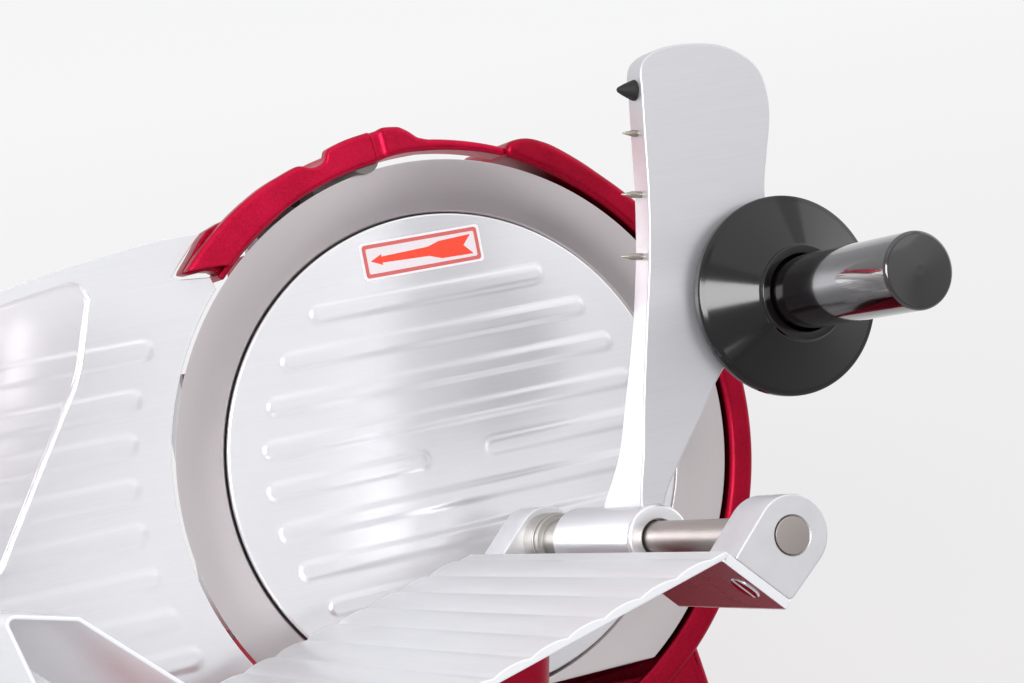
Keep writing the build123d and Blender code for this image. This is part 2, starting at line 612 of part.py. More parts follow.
BEARING_LEFT, BEARING_RIGHT = -138, -132
with BuildPart() as gauge_frame:
    for back in (FRAME_BACK, FRAME_FRONT - 4):
        with BuildSketch(blade_plane(back)):
            patch(BLOCK_LEFT, BLOCK_RIGHT, BLOCK_LOW - 3.4, BLOCK_HIGH)
            with Locations(*GUIDE_RODS):
                Circle(GUIDE_ROD_R, mode=Mode.SUBTRACT)
        extrude(amount=4)
    with BuildSketch(blade_plane(FRAME_BACK)):
        patch(BLOCK_LEFT, BLOCK_RIGHT, BLOCK_LOW - 3.4, BLOCK_LOW - 0.4)
    extrude(amount=FRAME_FRONT - FRAME_BACK)
    # feet to the front wall of the base, and the far bearing of the knob's shaft
    with BuildSketch(front(CAVITY_FRONT)):
        patch(-204, -156, 42, 52)
    extrude(amount=-7)
    with BuildSketch(side(BEARING_LEFT)):
        patch(KNOB_Y - 10, KNOB_Y + 10, PLATE_TOP, KNOB_Z + 9)
        with Locations((KNOB_Y, KNOB_Z)):
            Circle(SHAFT_R + RUNNING_FIT, mode=Mode.SUBTRACT)
    extrude(amount=BEARING_RIGHT - BEARING_LEFT)
keep(gauge_frame, "gauge_frame")

with BuildPart() as gauge_rods:
    with BuildSketch(blade_plane(FRAME_BACK)):
        with Locations(*GUIDE_RODS):
            Circle(GUIDE_ROD_R)
    extrude(amount=FRAME_FRONT - FRAME_BACK)
keep(gauge_rods, "gauge_rods")

with BuildPart() as gauge_cam:
    with BuildSketch(side(-150)):
        with BuildLine():
            steps = range(0, KNOB_SWEEP + 1, 30)
            spiral = [polar(CAM_R - 14.3 * turned / KNOB_SWEEP, 180 - TILT - turned) for turned in steps]
            rim = Spline(*[(KNOB_Y + y, KNOB_Z + z) for y, z in spiral])
            Line(rim @ 1, rim @ 0)
        make_face()
    extrude(amount=6)
    with BuildSketch(side(-262)):
        with Locations((KNOB_Y, KNOB_Z)):
            Circle(SHAFT_R)
    extrude(amount=BEARING_RIGHT + 262)
keep(gauge_cam, "gauge_cam")

KNOB_R, KNOB_FACE = 22, -275
with BuildPart() as dial_plate:
    with BuildSketch(side(BASE_LEFT - 1.5)):
        with Locations((KNOB_Y, KNOB_Z)):
            Circle(26)
            Circle(SHAFT_R + 0.3, mode=Mode.SUBTRACT)
        patch(KNOB_Y - 30, KNOB_Y + 30, KNOB_Z - 23, KNOB_Z + 23, mode=Mode.INTERSECT)
    extrude(amount=1.5)
keep(dial_plate, "dial_plate")

with BuildPart() as thickness_knob:
    with BuildSketch(side(KNOB_FACE)):
        with Locations((KNOB_Y, KNOB_Z)):
            Circle(KNOB_R)
            with PolarLocations(KNOB_R + 2, 12):
                Circle(3.4, mode=Mode.SUBTRACT)
    extrude(amount=20)
    with BuildSketch(side(KNOB_FACE + 20)):
        with Locations((KNOB_Y, KNOB_Z)):
            Circle(14)
    extrude(amount=BASE_LEFT - 1.9 - KNOB_FACE - 20)
    with BuildSketch(side(-262)):
        with Locations((KNOB_Y, KNOB_Z)):
            Circle(SHAFT_R)
    extrude(amount=20, mode=Mode.SUBTRACT)
keep(thickness_knob, "thickness_knob")

# ---------------------------------------------------------------- carriage
TRAY_END, TRAY_LOW, TRAY_HIGH = (-14.4, -40.7), (-166.6, -77.6), (-232.8, -14.1)
TRAY_LIP, TRAY_HEM = (-256.5, -8), (-247, -46)
FLANGE_END = (TRAY_END[0] + polar(FLANGE_LENGTH, FLANGE_DROP)[0], TRAY_END[1] + polar(FLANGE_LENGTH, FLANGE_DROP)[1])
NECK_LEFT, NECK_RIGHT = -67, 13
COLUMN_LEFT, COLUMN_RIGHT, COLUMN_FRONT, COLUMN_REAR = -120, -60, -205, -165
tray_top = [TRAY_END, TRAY_LOW, TRAY_HIGH, TRAY_LIP, TRAY_HEM]
tray_under = parallel(tray_top, [FLOOR_SHEET, FENCE_SHEET, FENCE_SHEET, FENCE_SHEET])

floor_way = (Vector(*TRAY_LOW) - Vector(*TRAY_END)).normalized()
floor_up = Vector(floor_way.Y, -floor_way.X)


def on_floor(along, height):
    """A (u, v) point this far down the tray's floor and above it."""
    point = Vector(*TRAY_END) + floor_way * along + floor_up * height
    return (point.X, point.Y)


with BuildPart() as food_tray:
    with BuildSketch(blade_plane(TRAY_NEAR)):
        outline(*tray_top, *reversed(tray_under))
        for wave in range(FLOOR_WAVES):
            middle = 6 + (wave + 0.5) * 14.6
            ridge = ((-6.6, -1), (-6.6, 0.2), (-3, WAVE_HEIGHT), (3, WAVE_HEIGHT), (6.6, 0.2), (6.6, -1))
            outline(*[on_floor(middle + across, height) for across, height in ridge])
    extrude(amount=TRAY_FAR - TRAY_NEAR)
    # the flange that carries the rod's lugs, at each end of the floor
    shelf = [FLANGE_END, TRAY_END, on_floor(12, 0)]
    for near, far in ((TRAY_NEAR, 58), (165, TRAY_FAR)):
        with BuildSketch(blade_plane(near)):
            outline(*shelf, *reversed(parallel(shelf, [FLANGE_SHEET, FLOOR_SHEET])))
        extrude(amount=far - near)
keep(food_tray, "food_tray")

with BuildPart() as carriage_arm:
    with BuildSketch(deck(30)):
        patch(COLUMN_LEFT, COLUMN_RIGHT, COLUMN_FRONT, COLUMN_REAR, 9)
    extrude(amount=260)
    with BuildSketch(deck(30)):
        patch(COLUMN_LEFT, NECK_RIGHT, -201, -169, 9)
    extrude(amount=30)
    with BuildSketch(side(NECK_LEFT)):
        patch(-190, -112, 22, 57, 5)
    extrude(amount=NECK_RIGHT - NECK_LEFT)
    with BuildSketch(side(NECK_LEFT - 1)):
        with Locations((RAIL_Y, RAIL_Z)):
            Circle(RAIL_R + 3)
    extrude(amount=NECK_RIGHT - NECK_LEFT + 2, mode=Mode.SUBTRACT)
    # the top of the column follows the underside of the tray
    with BuildSketch(blade_plane(0)):
        outline(tray_under[0], (60, 60), (60, 160), (-300, 160), tray_under[2], tray_under[1])
    extrude(amount=320, mode=Mode.SUBTRACT)
    with BuildSketch(front(COLUMN_FRONT)):
        with Locations(((COLUMN_LEFT + COLUMN_RIGHT) / 2, 200)):
            Circle(3)
    extrude(amount=-20, mode=Mode.SUBTRACT)
keep(carriage_arm, "carriage_arm")

with BuildPart() as carriage_bushes:
    for left in (NECK_LEFT, NECK_RIGHT - 22):
        with BuildSketch(side(left)):
            with Locations((RAIL_Y, RAIL_Z)):
                Circle(RAIL_R + 3)
                Circle(RAIL_R + RUNNING_FIT, mode=Mode.SUBTRACT)
        extrude(amount=22)
keep(carriage_bushes, "carriage_bushes")

with BuildPart() as guide_shoe:
    with BuildSketch(side(-47)):
        patch(-112, NOTCH_REAR - 1.2, 16, 34)
        patch(GUIDE_FACE - 0.3, NOTCH_REAR, GUIDE_LOW - 0.3, GUIDE_HIGH + 0.3, mode=Mode.SUBTRACT)
    extrude(amount=40)
keep(guide_shoe, "guide_shoe")

with BuildPart() as tray_lock_knob:
    with BuildSketch(front(COLUMN_FRONT - 18)):
        with Locations((-90, 200)):
            Circle(14)
            with PolarLocations(16, 8):
                Circle(3.4, mode=Mode.SUBTRACT)
    extrude(amount=-14)
    with BuildSketch(front(COLUMN_FRONT - 4)):
        with Locations((-90, 200)):
            Circle(9)
    extrude(amount=-3.6)
    with BuildSketch(front(COLUMN_FRONT - 0.4)):
        with Locations((-90, 200)):
            Circle(3 - RUNNING_FIT)
    extrude(amount=-16)
keep(tray_lock_knob, "tray_lock_knob")

# ---------------------------------------------------------------- rod of the food pusher, and its lugs
with BuildPart() as rod_lugs:
    for near, far in ((24, 44), (223, TRAY_FAR)):
        with BuildSketch(blade_plane(near)):
            outline(TRAY_END, (-9.8, -42.4), (LUG_U - 9.5, LUG_V + 9.7), (LUG_U, LUG_V),
                    (LUG_U + 9, LUG_V - 10.2), FLANGE_END)
            with Locations((LUG_U, LUG_V)):
                Circle(LUG_R)
        extrude(amount=far - near)
    with BuildSketch(blade_plane(44)):
        with Locations((ROD_U, ROD_V)):
            Circle(11.4)
    extrude(amount=9)
    with BuildSketch(blade_plane(20)):
        with Locations((ROD_U, ROD_V)):
            Circle(ROD_R)
    extrude(amount=230, mode=Mode.SUBTRACT)
keep(rod_lugs, "rod_lugs")

with BuildPart() as pusher_rod:
    turn((0, 24), (ROD_R, 24), (ROD_R, TRAY_FAR), (ROD_R - 0.4, TRAY_FAR + 0.4), (0, TRAY_FAR + 0.4),
         u=ROD_U, v=ROD_V)
keep(pusher_rod, "pusher_rod")

# ---------------------------------------------------------------- clear hand guard on the fence's flange
GUARD_BACK, GUARD_FRONT = 57.5, 62.5
GUARD_SCREWS = [(-250.5, -0.5), (-239.5, -3.4)]
lip_slope = (TRAY_LIP[1] - TRAY_HIGH[1]) / (TRAY_LIP[0] - TRAY_HIGH[0])


def on_lip(u, height=0):
    """A (u, v) point above the flange at the top of the fence."""
    return (u, TRAY_HIGH[1] + (u - TRAY_HIGH[0]) * lip_slope + height)


with BuildPart() as hand_guard:
    with BuildSketch(blade_plane(GUARD_BACK)) as guard_outline:
        outline(on_lip(-255, 0.3), (-266, 40), (-262, 80), (-195, 92), (-165, 95), (-161, 88), (-171, 59), (-193, 26),
                (-214, -6), on_lip(-233.5, 0.3))
        fillet(guard_outline.vertices().sort_by(Axis.Y)[-1], 5)
        with Locations(*GUARD_SCREWS):
            Circle(2, mode=Mode.SUBTRACT)
    extrude(amount=GUARD_FRONT - GUARD_BACK)
keep(hand_guard, "hand_guard")

with BuildPart() as guard_bracket:
    with BuildSketch(blade_plane(GUARD_BACK - 5)):
        outline(on_lip(-255.5), on_lip(-234.5), on_lip(-234.5, 16), on_lip(-255.5, 16))
        with Locations(*GUARD_SCREWS):
            Circle(2, mode=Mode.SUBTRACT)
    extrude(amount=5)
    with BuildSketch(blade_plane(40)):
        outline(on_lip(-255.5), on_lip(-234.5), on_lip(-234.5, 4), on_lip(-255.5, 4))
    extrude(amount=14)
keep(guard_bracket, "guard_bracket")

with BuildPart() as guard_screws:
    with BuildSketch(blade_plane(GUARD_BACK - 5)):
        with Locations(*GUARD_SCREWS):
            Circle(2)
    extrude(amount=10)
    with BuildSketch(blade_plane(GUARD_FRONT)):
        with Locations(*GUARD_SCREWS):
            Circle(4)
    extrude(amount=2)
keep(guard_screws, "guard_screws")

# ---------------------------------------------------------------- food pusher
BUSH_NEAR, BUSH_FAR = 54, 140.8
HUB_NEAR, HUB_FAR = 76, 145
SPIKES = [(43.5, 110.1), (38, 87.2), (32.9, 64)]
SPIKE_LENGTH, SPIKE_R, SPIKE_WAY = 8.9, 1.5, 170
BUMPER, BUMPER_LENGTH = (42.9, 127), 7.2
STUD_R = 4
leading_edge = [(9.2, -27.3), (14.5, -7.4), (18.7, 10.9), (25.5, 36.5), (32.4, 62.2), (37.4, 86.5), (40.8, 109.6),
                (43.5, 128)]
trailing_edge = [(96.8, 119.5), (95.5, 107), (88.1, 80.5), (87, 60), (80, 35), (66, 24), (53.8, 15.1), (40.5, -1),
                 (28.8, -14.8), (17.8, -29.1)]


def prong_plane(u, v, depth):
    """Across a prong of the pusher; its z points out of the prong's tip."""
    out = (cos(radians(SPIKE_WAY)), sin(radians(SPIKE_WAY)))
    base = blade_point(u - depth * out[0], v - depth * out[1], (ARM_BACK + ARM_FRONT) / 2)
    return Plane(origin=base, x_dir=FOOD_WAY, z_dir=(out[0], out[1] * sin(tilt), out[1] * cos(tilt)))


with BuildPart() as pusher_bush:
    turn((ROD_R + RUNNING_FIT, BUSH_NEAR), (11, BUSH_NEAR), (11, BUSH_NEAR + 3), (BUSH_R, BUSH_NEAR + 3),
         (BUSH_R, BUSH_FAR), (ROD_R + RUNNING_FIT, BUSH_FAR), u=ROD_U, v=ROD_V)
keep(pusher_bush, "pusher_bush")

with BuildPart() as pusher_arm:
    with BuildSketch(blade_plane(ARM_BACK)):
        outline((ROD_U, ROD_V), *leading_edge, (46, 133), (52, 138.2), (62, 140.8), (72, 140.8), (80.6, 138.7),
                (91.5, 132), *trailing_edge)
        with Locations((GRIP_U, GRIP_V)):
            Circle(17)
    extrude(amount=ARM_FRONT - ARM_BACK)
    chamfer(pusher_arm.faces().sort_by(Axis(blade_point(0, 0, 0), FOOD_WAY))[-1].edges(), 0.8)
    with BuildSketch(blade_plane(HUB_NEAR)):
        with Locations((ROD_U, ROD_V)):
            Circle(HUB_R)
    extrude(amount=HUB_FAR - HUB_NEAR)
    # the leading edge widens towards the sleeve
    with BuildSketch(Plane(origin=blade_point(9.2, -27.3, 0), x_dir=FOOD_WAY,
                           z_dir=(0.968, -0.2507 * sin(tilt), -0.2507 * cos(tilt)))):
        outline((ARM_BACK + 1, -66), (ARM_BACK, -66), (121, -29), (117, -14), (108, -3), (103, 2), (ARM_BACK + 1, 2))
    extrude(amount=9)
    with BuildSketch(blade_plane(HUB_NEAR - 1)):
        with Locations((ROD_U, ROD_V)):
            Circle(BUSH_R + RUNNING_FIT)
    extrude(amount=BUSH_FAR + 0.3 - HUB_NEAR + 1, mode=Mode.SUBTRACT)
    with BuildSketch(blade_plane(HUB_NEAR - 1)):
        with Locations((ROD_U, ROD_V)):
            Circle(ROD_R + 0.8)
    extrude(amount=HUB_FAR - HUB_NEAR + 2, mode=Mode.SUBTRACT)
    for u, v in SPIKES:
        with BuildSketch(prong_plane(u, v, 5)):
            Circle(SPIKE_R)
        extrude(amount=8, mode=Mode.SUBTRACT)
    with BuildSketch(prong_plane(*BUMPER, 5)):
        Circle(2)
    extrude(amount=8, mode=Mode.SUBTRACT)
    with BuildSketch(blade_plane(ARM_FRONT - 1)):
        with Locations((GRIP_U, GRIP_V)):
            Circle(STUD_R)
    extrude(amount=30)
keep(pusher_arm, "pusher_arm")

with BuildPart() as handle_guard:
    turn((STUD_R, ARM_FRONT), (15, ARM_FRONT), (15, 152), (33, 145.5), (35, 144), (38.7, 144), (38.7, 147.6),
         (34.5, 149.2), (18.2, 158.6), (18.2, 160.4), (15.8, 160.4), (15.2, 158.4), (STUD_R, 158.4), u=GRIP_U, v=GRIP_V)
keep(handle_guard, "handle_guard")

with BuildPart() as handle_grip:
    turn((STUD_R, 158.4), (GRIP_R, 158.4), (GRIP_R, GRIP_END - 3), (GRIP_R - 0.9, GRIP_END - 0.8),
         (GRIP_R - 3, GRIP_END), (0, GRIP_END), (0, ARM_FRONT + 29), (STUD_R, ARM_FRONT + 29), u=GRIP_U, v=GRIP_V)
keep(handle_grip, "handle_grip")

with BuildPart() as pusher_spikes:
    for u, v in SPIKES:
        with BuildSketch(prong_plane(u, v, 5)):
            Circle(SPIKE_R)
        extrude(amount=9)
        with BuildSketch(prong_plane(u, v, -4)):
            Circle(SPIKE_R)
        extrude(amount=SPIKE_LENGTH - 4, taper=14)
keep(pusher_spikes, "pusher_spikes")

with BuildPart() as rubber_bumper:
    with BuildSketch(prong_plane(*BUMPER, 5)):
        Circle(2)
    extrude(amount=6)
    with BuildSketch(prong_plane(*BUMPER, 0)):
        Circle(4)
    extrude(amount=BUMPER_LENGTH, taper=22)
keep(rubber_bumper, "rubber_bumper")
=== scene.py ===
# %% [markdown]
# # A gravity-feed meat slicer
#
# A round blade stands in a red cast housing. A gauge plate sets the thickness of a slice, and a tray
# carries the food past the edge, held by a pusher on a rod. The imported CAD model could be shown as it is.
# But metal is known by its soft edges and by what it mirrors, so this lesson draws finer surfaces over it.

import bpy
import numpy as np
from mathutils import Matrix


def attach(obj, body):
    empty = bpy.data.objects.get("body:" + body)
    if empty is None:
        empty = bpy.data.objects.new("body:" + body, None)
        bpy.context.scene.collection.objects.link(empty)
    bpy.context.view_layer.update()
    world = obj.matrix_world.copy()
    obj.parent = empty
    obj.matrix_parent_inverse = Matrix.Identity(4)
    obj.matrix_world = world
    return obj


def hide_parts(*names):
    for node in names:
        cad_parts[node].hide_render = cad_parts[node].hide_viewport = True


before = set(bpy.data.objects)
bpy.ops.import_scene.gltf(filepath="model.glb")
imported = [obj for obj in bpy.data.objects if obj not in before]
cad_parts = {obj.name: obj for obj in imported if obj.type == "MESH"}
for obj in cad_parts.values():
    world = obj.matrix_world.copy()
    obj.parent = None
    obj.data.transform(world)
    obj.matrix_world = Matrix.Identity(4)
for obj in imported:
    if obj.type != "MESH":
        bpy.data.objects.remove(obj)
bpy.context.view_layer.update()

# %% [markdown]
# ## Axes
# The blade leans 26 degrees back, and nearly every visible piece is square to it. In the row's own axes
# every number would hold a sine. So places are (u, v, n) in millimetres from the blade's centre: u along
# the carriage's travel, v up the blade, n out of it towards the food.

# %% Turn blade axes into the row frame
TILT = np.radians(26)
CENTRE = np.array((91.0, 33.1, 215.0))
ARROWS = np.array(((1, 0, 0), (0, np.sin(TILT), np.cos(TILT)), (0, -np.cos(TILT), np.sin(TILT))))


def by_blade(points):
    """The row-frame place of (u, v, n) points: the centre, plus u, v and n times their arrows."""
    return (CENTRE + np.asarray(points, float) @ ARROWS) / 1000


BLADE_AXIS = by_blade((0, 0, 0))
print("blade centre in the row frame", BLADE_AXIS.round(4))

# %% [markdown]
# ## Outlines
# Castings and bent sheets have rounded corners, and the arm has flowing sides. They could be drawn with
# many points by hand. Here an outline has only its corners or a few points of a curve, and functions do
# the rest.

# %% Round corners and draw curves
def unit(vectors):
    """The same vectors at length 1."""
    return vectors / np.maximum(np.linalg.norm(vectors, axis=-1, keepdims=True), 1e-12)


def polar(radius, degrees):
    """Points at a radius and an angle: (radius cos a, radius sin a)."""
    angle = np.radians(degrees)
    return np.stack(np.broadcast_arrays(radius * np.cos(angle), radius * np.sin(angle)), -1)


def rounded(corners, radius, steps=6, closed=True):
    """Each corner becomes an arc that touches both of its sides.

    The arc's centre lies on the bisector at radius / sin(half the angle), and it touches the sides at
    radius / tan(half the angle) from the corner. An open path keeps its two ends.
    """
    p = np.asarray(corners, float)
    r = np.broadcast_to(np.asarray(radius, float), len(p)).copy()
    before, after = unit(np.roll(p, 1, 0) - p), unit(np.roll(p, -1, 0) - p)
    if not closed:
        r[[0, -1]] = 0
        before[0], after[-1] = -after[0], -before[-1]
    half = np.arccos(np.clip((before * after).sum(1), -1, 1)) / 2
    half = np.clip(half, 1e-3, np.pi / 2 - 1e-3)
    r = np.maximum(r, 1e-4)
    middle = unit(before + after + 1e-9)
    centre = p + middle * (r / np.sin(half))[:, None]
    reach = (r / np.tan(half))[:, None]
    first, last = p + before * reach - centre, p + after * reach - centre
    sweep = (np.pi - 2 * half)[:, None, None]
    t = np.linspace(0, 1, steps + 1)[None, :, None]
    swung = np.sin((1 - t) * sweep) * first[:, None] + np.sin(t * sweep) * last[:, None]
    return (centre[:, None] + swung / np.sin(sweep)).reshape(-1, p.shape[1])


def curve(points, steps=8):
    """A Catmull-Rom curve: between two points it is the cubic whose slopes come from their neighbours."""
    p = np.asarray(points, float)
    p = np.concatenate((2 * p[:1] - p[1:2], p, 2 * p[-1:] - p[-2:-1]))
    a, b, c, d = (p[k:len(p) - 3 + k, None] for k in range(4))
    t = np.linspace(0, 1, steps, endpoint=False)[None, :, None]
    bend, twist = 2 * a - 5 * b + 4 * c - d, 3 * b - a - 3 * c + d
    cubic = 0.5 * (2 * b + (c - a) * t + bend * t**2 + twist * t**3)
    return np.concatenate((cubic.reshape(-1, p.shape[1]), p[-2:-1]))


def smooth(x, points, width):
    """The line through (x, y) points, softened: the mean over this width round each x."""
    at, height = np.transpose(points)
    return np.interp(np.add.outer(np.linspace(-width / 2, width / 2, 17), x), at, height).mean(0)


print("points of a rounded square", len(rounded(((0, 0), (9, 0), (9, 9), (0, 9)), 2)))

# %% Space points evenly and move a ring inwards
def even(path, count, closed=True):
    """The same path with points at equal distances along it."""
    p = np.concatenate((path, path[:1])) if closed else np.asarray(path, float)
    length = np.concatenate(((0,), np.cumsum(np.linalg.norm(np.diff(p, axis=0), axis=1))))
    at = np.linspace(0, length[-1], count, endpoint=not closed)
    return np.stack([np.interp(at, length, axis) for axis in p.T], -1)


def anticlockwise(outline):
    """The ring in anticlockwise order: its area, half the sum of x1 y2 - x2 y1, is then positive."""
    p, q = np.asarray(outline, float), np.roll(outline, -1, 0)
    return p if (p[:, 0] * q[:, 1] - q[:, 0] * p[:, 1]).sum() > 0 else p[::-1]


def inset(outline, distance):
    """An anticlockwise ring moved inwards: each point goes along the mitre of its two sides' normals."""
    along = unit(np.roll(outline, -1, 0) - outline)
    normal = np.stack((-along[:, 1], along[:, 0]), -1)
    earlier = np.roll(normal, 1, 0)
    mitre = (normal + earlier) / np.maximum(1 + (normal * earlier).sum(1), 0.35)[:, None]
    return outline + mitre * np.broadcast_to(distance, len(outline))[:, None]


def lifted(ring, height):
    """A flat ring as (u, v, n) points. The height is one number, or one for each point."""
    return np.column_stack((ring, np.broadcast_to(height, len(ring))))


circle = polar(10, np.linspace(0, 360, 60, endpoint=False))
print("radius 10 moved in by 2:", np.hypot(*inset(circle, 2).T).mean())

# %% [markdown]
# ## Surfaces
# Almost every piece is a stack of rings joined by four-sided faces: a plate, a turned part, a bent sheet.
# Solidify and Bevel could do much of it. Rings keep every rounding a stated radius.

# %% Join rings into mesh objects
def joined(rings, other_way):
    """The four-sided faces between each ring of points and the next, as an array of corner numbers."""
    count, around = rings
    i, j = np.mgrid[0:count - 1, 0:around if other_way else around - 1]
    k = (j + 1) % around
    corners = i * around + j, i * around + k, (i + 1) * around + k, (i + 1) * around + j
    return np.stack(corners, -1).reshape(-1, 4)


def add(name, points, faces, material, body, slot, nodes=(), crease=35, ends=()):
    """One mesh object in the row frame, smooth except where faces meet at more than the crease angle."""
    mesh = bpy.data.meshes.new(name)
    caps = [list(map(int, end)) for end in ends]
    mesh.from_pydata(points.reshape(-1, 3).tolist(), [], faces.tolist() + caps)
    mesh.validate()
    mesh.materials.append(material)
    mesh.shade_smooth()
    mesh.set_sharp_from_angle(angle=np.radians(crease))
    made = bpy.data.objects.new(name, mesh)
    bpy.context.collection.objects.link(made)
    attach(made, body)
    if nodes:
        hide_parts(*nodes)
    print(f"{name}: {len(mesh.polygons)} faces on {body}")
    return made


def stack(name, rings, *look, closed=False, sheet=False, rim=False, place=by_blade, **extra):
    """Join rings, an array (rings, points, 3), in order.

    Open stacks get a flat face over each end, a rim only over its last. The ends of a bent sheet get
    four-sided faces, each between two points of one side and the two across from them.
    """
    if closed:
        rings = np.concatenate((rings, rings[:1]))
    count, around = rings.shape[:2]
    faces = joined((count, around), True)
    first, last = np.arange(around)[::-1], np.arange(around) + (count - 1) * around
    ends = () if closed else (last,) if rim else (first, last)
    if sheet:
        i = np.arange(around // 2 - 1)
        across = np.stack((i, i + 1, -i - 2, -i - 1), -1)
        ends = np.concatenate([ring[across] for ring in (first, last)])
    return add(name, place(rings), faces, *look, ends=ends, **extra)


# %% Make rings for plates and turned parts
def levels(outline, insets, heights):
    """Rings of one outline: each is moved in by its inset and lies at its height."""
    return np.stack([lifted(inset(outline, distance), height) for distance, height in zip(insets, heights)])


def plate(outline, back, front, edge=1.0, steps=4):
    """Rings of a plate between two heights; a quarter circle rounds each edge.

    One more ring lies a little inside each flat side, so that the smooth shading stops there.
    """
    outline = anticlockwise(outline)
    a = np.linspace(0, np.pi / 2, steps + 1)
    insets = edge * np.concatenate(([1.3], 1 - np.sin(a), 1 - np.cos(a), [1.3]))
    rise, fall = back + edge * (1 - np.cos(a)), front - edge * (1 - np.sin(a))
    return levels(outline, insets, np.concatenate(([back], rise, fall, [front])))


def turned(profile, u=0.0, v=0.0, around=160):
    """Rings of a turned part: each (radius, n) of the profile runs once round the axis through (u, v)."""
    angle = np.linspace(0, 2 * np.pi, around, endpoint=False)
    r, n = np.asarray(profile, float).T[:, :, None]
    return np.stack(np.broadcast_arrays(u + r * np.cos(angle), v + r * np.sin(angle), n + 0 * angle), -1)


print("a plate of that ring is an array", plate(circle, 0, 4).shape)

# %% [markdown]
# ## Shader maths
# Node trees are quick to sketch by hand but hard to read in code. A small value class lets a shader's sums
# be written like ordinary ones.

# %% Write shaders as sums
class Value:
    """One output of a shader node. Sums with it add math nodes to the same material."""

    def __init__(self, shader, socket):
        self.shader, self.socket = shader, socket

    def __add__(self, other):
        return self.shader.sum("ADD", self, other)

    def __sub__(self, other):
        return self.shader.sum("SUBTRACT", self, other)

    def __rsub__(self, other):
        return self.shader.sum("SUBTRACT", other, self)

    def __mul__(self, other):
        return self.shader.sum("MULTIPLY", self, other)

    def __pow__(self, other):
        return self.shader.sum("POWER", self, other)

    __radd__, __rmul__ = __add__, __mul__


class Shader:
    """The nodes of one material, or of the world. Only node() makes nodes and links."""

    def __init__(self, name, owner=None, **surface):
        self.material = owner or bpy.data.materials.new(name)
        self.material.use_nodes = True
        self.tree = self.material.node_tree
        self.tree.nodes.clear()
        self.place = self.node("TexCoord", out="Object")
        self.surface = surface

    def node(self, kind, ins=(), out=0, **settings):
        """A node of this kind: its settings first, then the value or link of each socket."""
        made = self.tree.nodes.new("ShaderNode" + kind)
        for key, value in settings.items():
            setattr(made, key, value)
        for key, value in dict(ins).items():
            if isinstance(value, Value):
                self.tree.links.new(value.socket, made.inputs[key])
            else:
                made.inputs[key].default_value = value
        return Value(self, made.outputs[out]) if made.outputs else None

    def sum(self, operation, *values):
        return self.node("Math", dict(enumerate(values)), operation=operation)

    def noise(self, scale, detail=2.0, rough=0.5, at=None):
        """Cloudy noise of about this many clouds to the metre."""
        ins = {"Vector": at or self.place, "Scale": scale, "Detail": detail, "Roughness": rough}
        return self.node("TexNoise", ins)

    def lines(self, distance, pitch, detail=3.0):
        """Fine uneven lines that follow a distance, as a lathe leaves: one-dimensional noise."""
        ins = {"W": distance * (1 / pitch), "Scale": 1.0, "Detail": detail}
        return self.node("TexNoise", ins, noise_dimensions="1D")

    def stretched(self, scales, turn):
        """Places along turned axes, scaled by axis, so that noise in them runs in streaks."""
        ins = {"Vector": self.place, "Scale": tuple(1 / k for k in scales), "Rotation": turn}
        return self.node("Mapping", ins, vector_type="TEXTURE")

    def spread(self, value, low, high, start=0.0, end=1.0, **settings):
        """The value carried from the range start..end to low..high, and held there."""
        ins = {"Value": value, "From Min": start, "From Max": end, "To Min": low, "To Max": high}
        return self.node("MapRange", ins, **settings)

    def step(self, value, start, end):
        """0 up to the start, 1 from the end, and the smooth curve 3t^2 - 2t^3 between."""
        return self.spread(value, 0.0, 1.0, start, end, interpolation_type="SMOOTHSTEP")

    def between(self, share, first, second):
        """A colour between two, each given as a tuple of three numbers or as a value."""
        a, b = ((*colour, 1) if isinstance(colour, tuple) else colour for colour in (first, second))
        return self.node("Mix", {"Factor": share, "A": a, "B": b}, out=2, data_type="RGBA")

    def bump(self, height, distance, strength=1.0, under=None):
        """A normal bent by a height in metres times a distance."""
        ins = {"Height": height, "Distance": distance, "Strength": strength}
        return self.node("Bump", ins if under is None else {**ins, "Normal": under})

    def done(self, colour, rough, **normal):
        """Finish with one Principled surface; constants and values go to its sockets by name."""
        ins = {key.replace("_", " "): value for key, value in {**self.surface, **normal}.items()}
        ins.update({"Base Color": colour, "Roughness": rough})
        self.node("OutputMaterial", {"Surface": self.node("BsdfPrincipled", ins)})
        return self.material

    def directly_seen(self):
        """1 for rays from the camera, a mirror or glass, and 0 for the rest."""
        rays = ("Is Camera Ray", "Is Glossy Ray", "Is Transmission Ray")
        camera_ray, mirrored, through_glass = (self.node("LightPath", out=ray) for ray in rays)
        return self.sum("MINIMUM", camera_ray + mirrored + through_glass, 1.0)

    def along(self, origin, direction):
        """The distance of each place from a point, measured along a direction."""
        from_there = self.node("VectorMath", {0: self.place, 1: tuple(origin)}, operation="SUBTRACT")
        ins = {0: from_there, 1: tuple(direction)}
        return self.node("VectorMath", ins, out="Value", operation="DOT_PRODUCT")

    def radius(self, origin):
        """The distance from an axis along n: the root of (distance squared less depth squared)."""
        from_there = self.node("VectorMath", {0: self.place, 1: tuple(origin)}, operation="SUBTRACT")
        ins = {0: from_there, 1: from_there}
        squared = self.node("VectorMath", ins, out="Value", operation="DOT_PRODUCT")
        lengthwise = self.along(origin, ARROWS[2])
        return (squared - lengthwise * lengthwise) ** 0.5


def tint(*rgb):
    """An sRGB colour of 0 to 255 as the linear colour that shaders use."""
    c = np.array(rgb) / 255
    return tuple(float(x) for x in np.where(c <= 0.04045, c / 12.92, ((c + 0.055) / 1.055) ** 2.4))


def shifted(colour, by):
    """The same colour with each sRGB channel moved by `by`."""
    return tint(*[min(255, max(0, c + by)) for c in colour])


print("mid grey", tint(128, 128, 128))

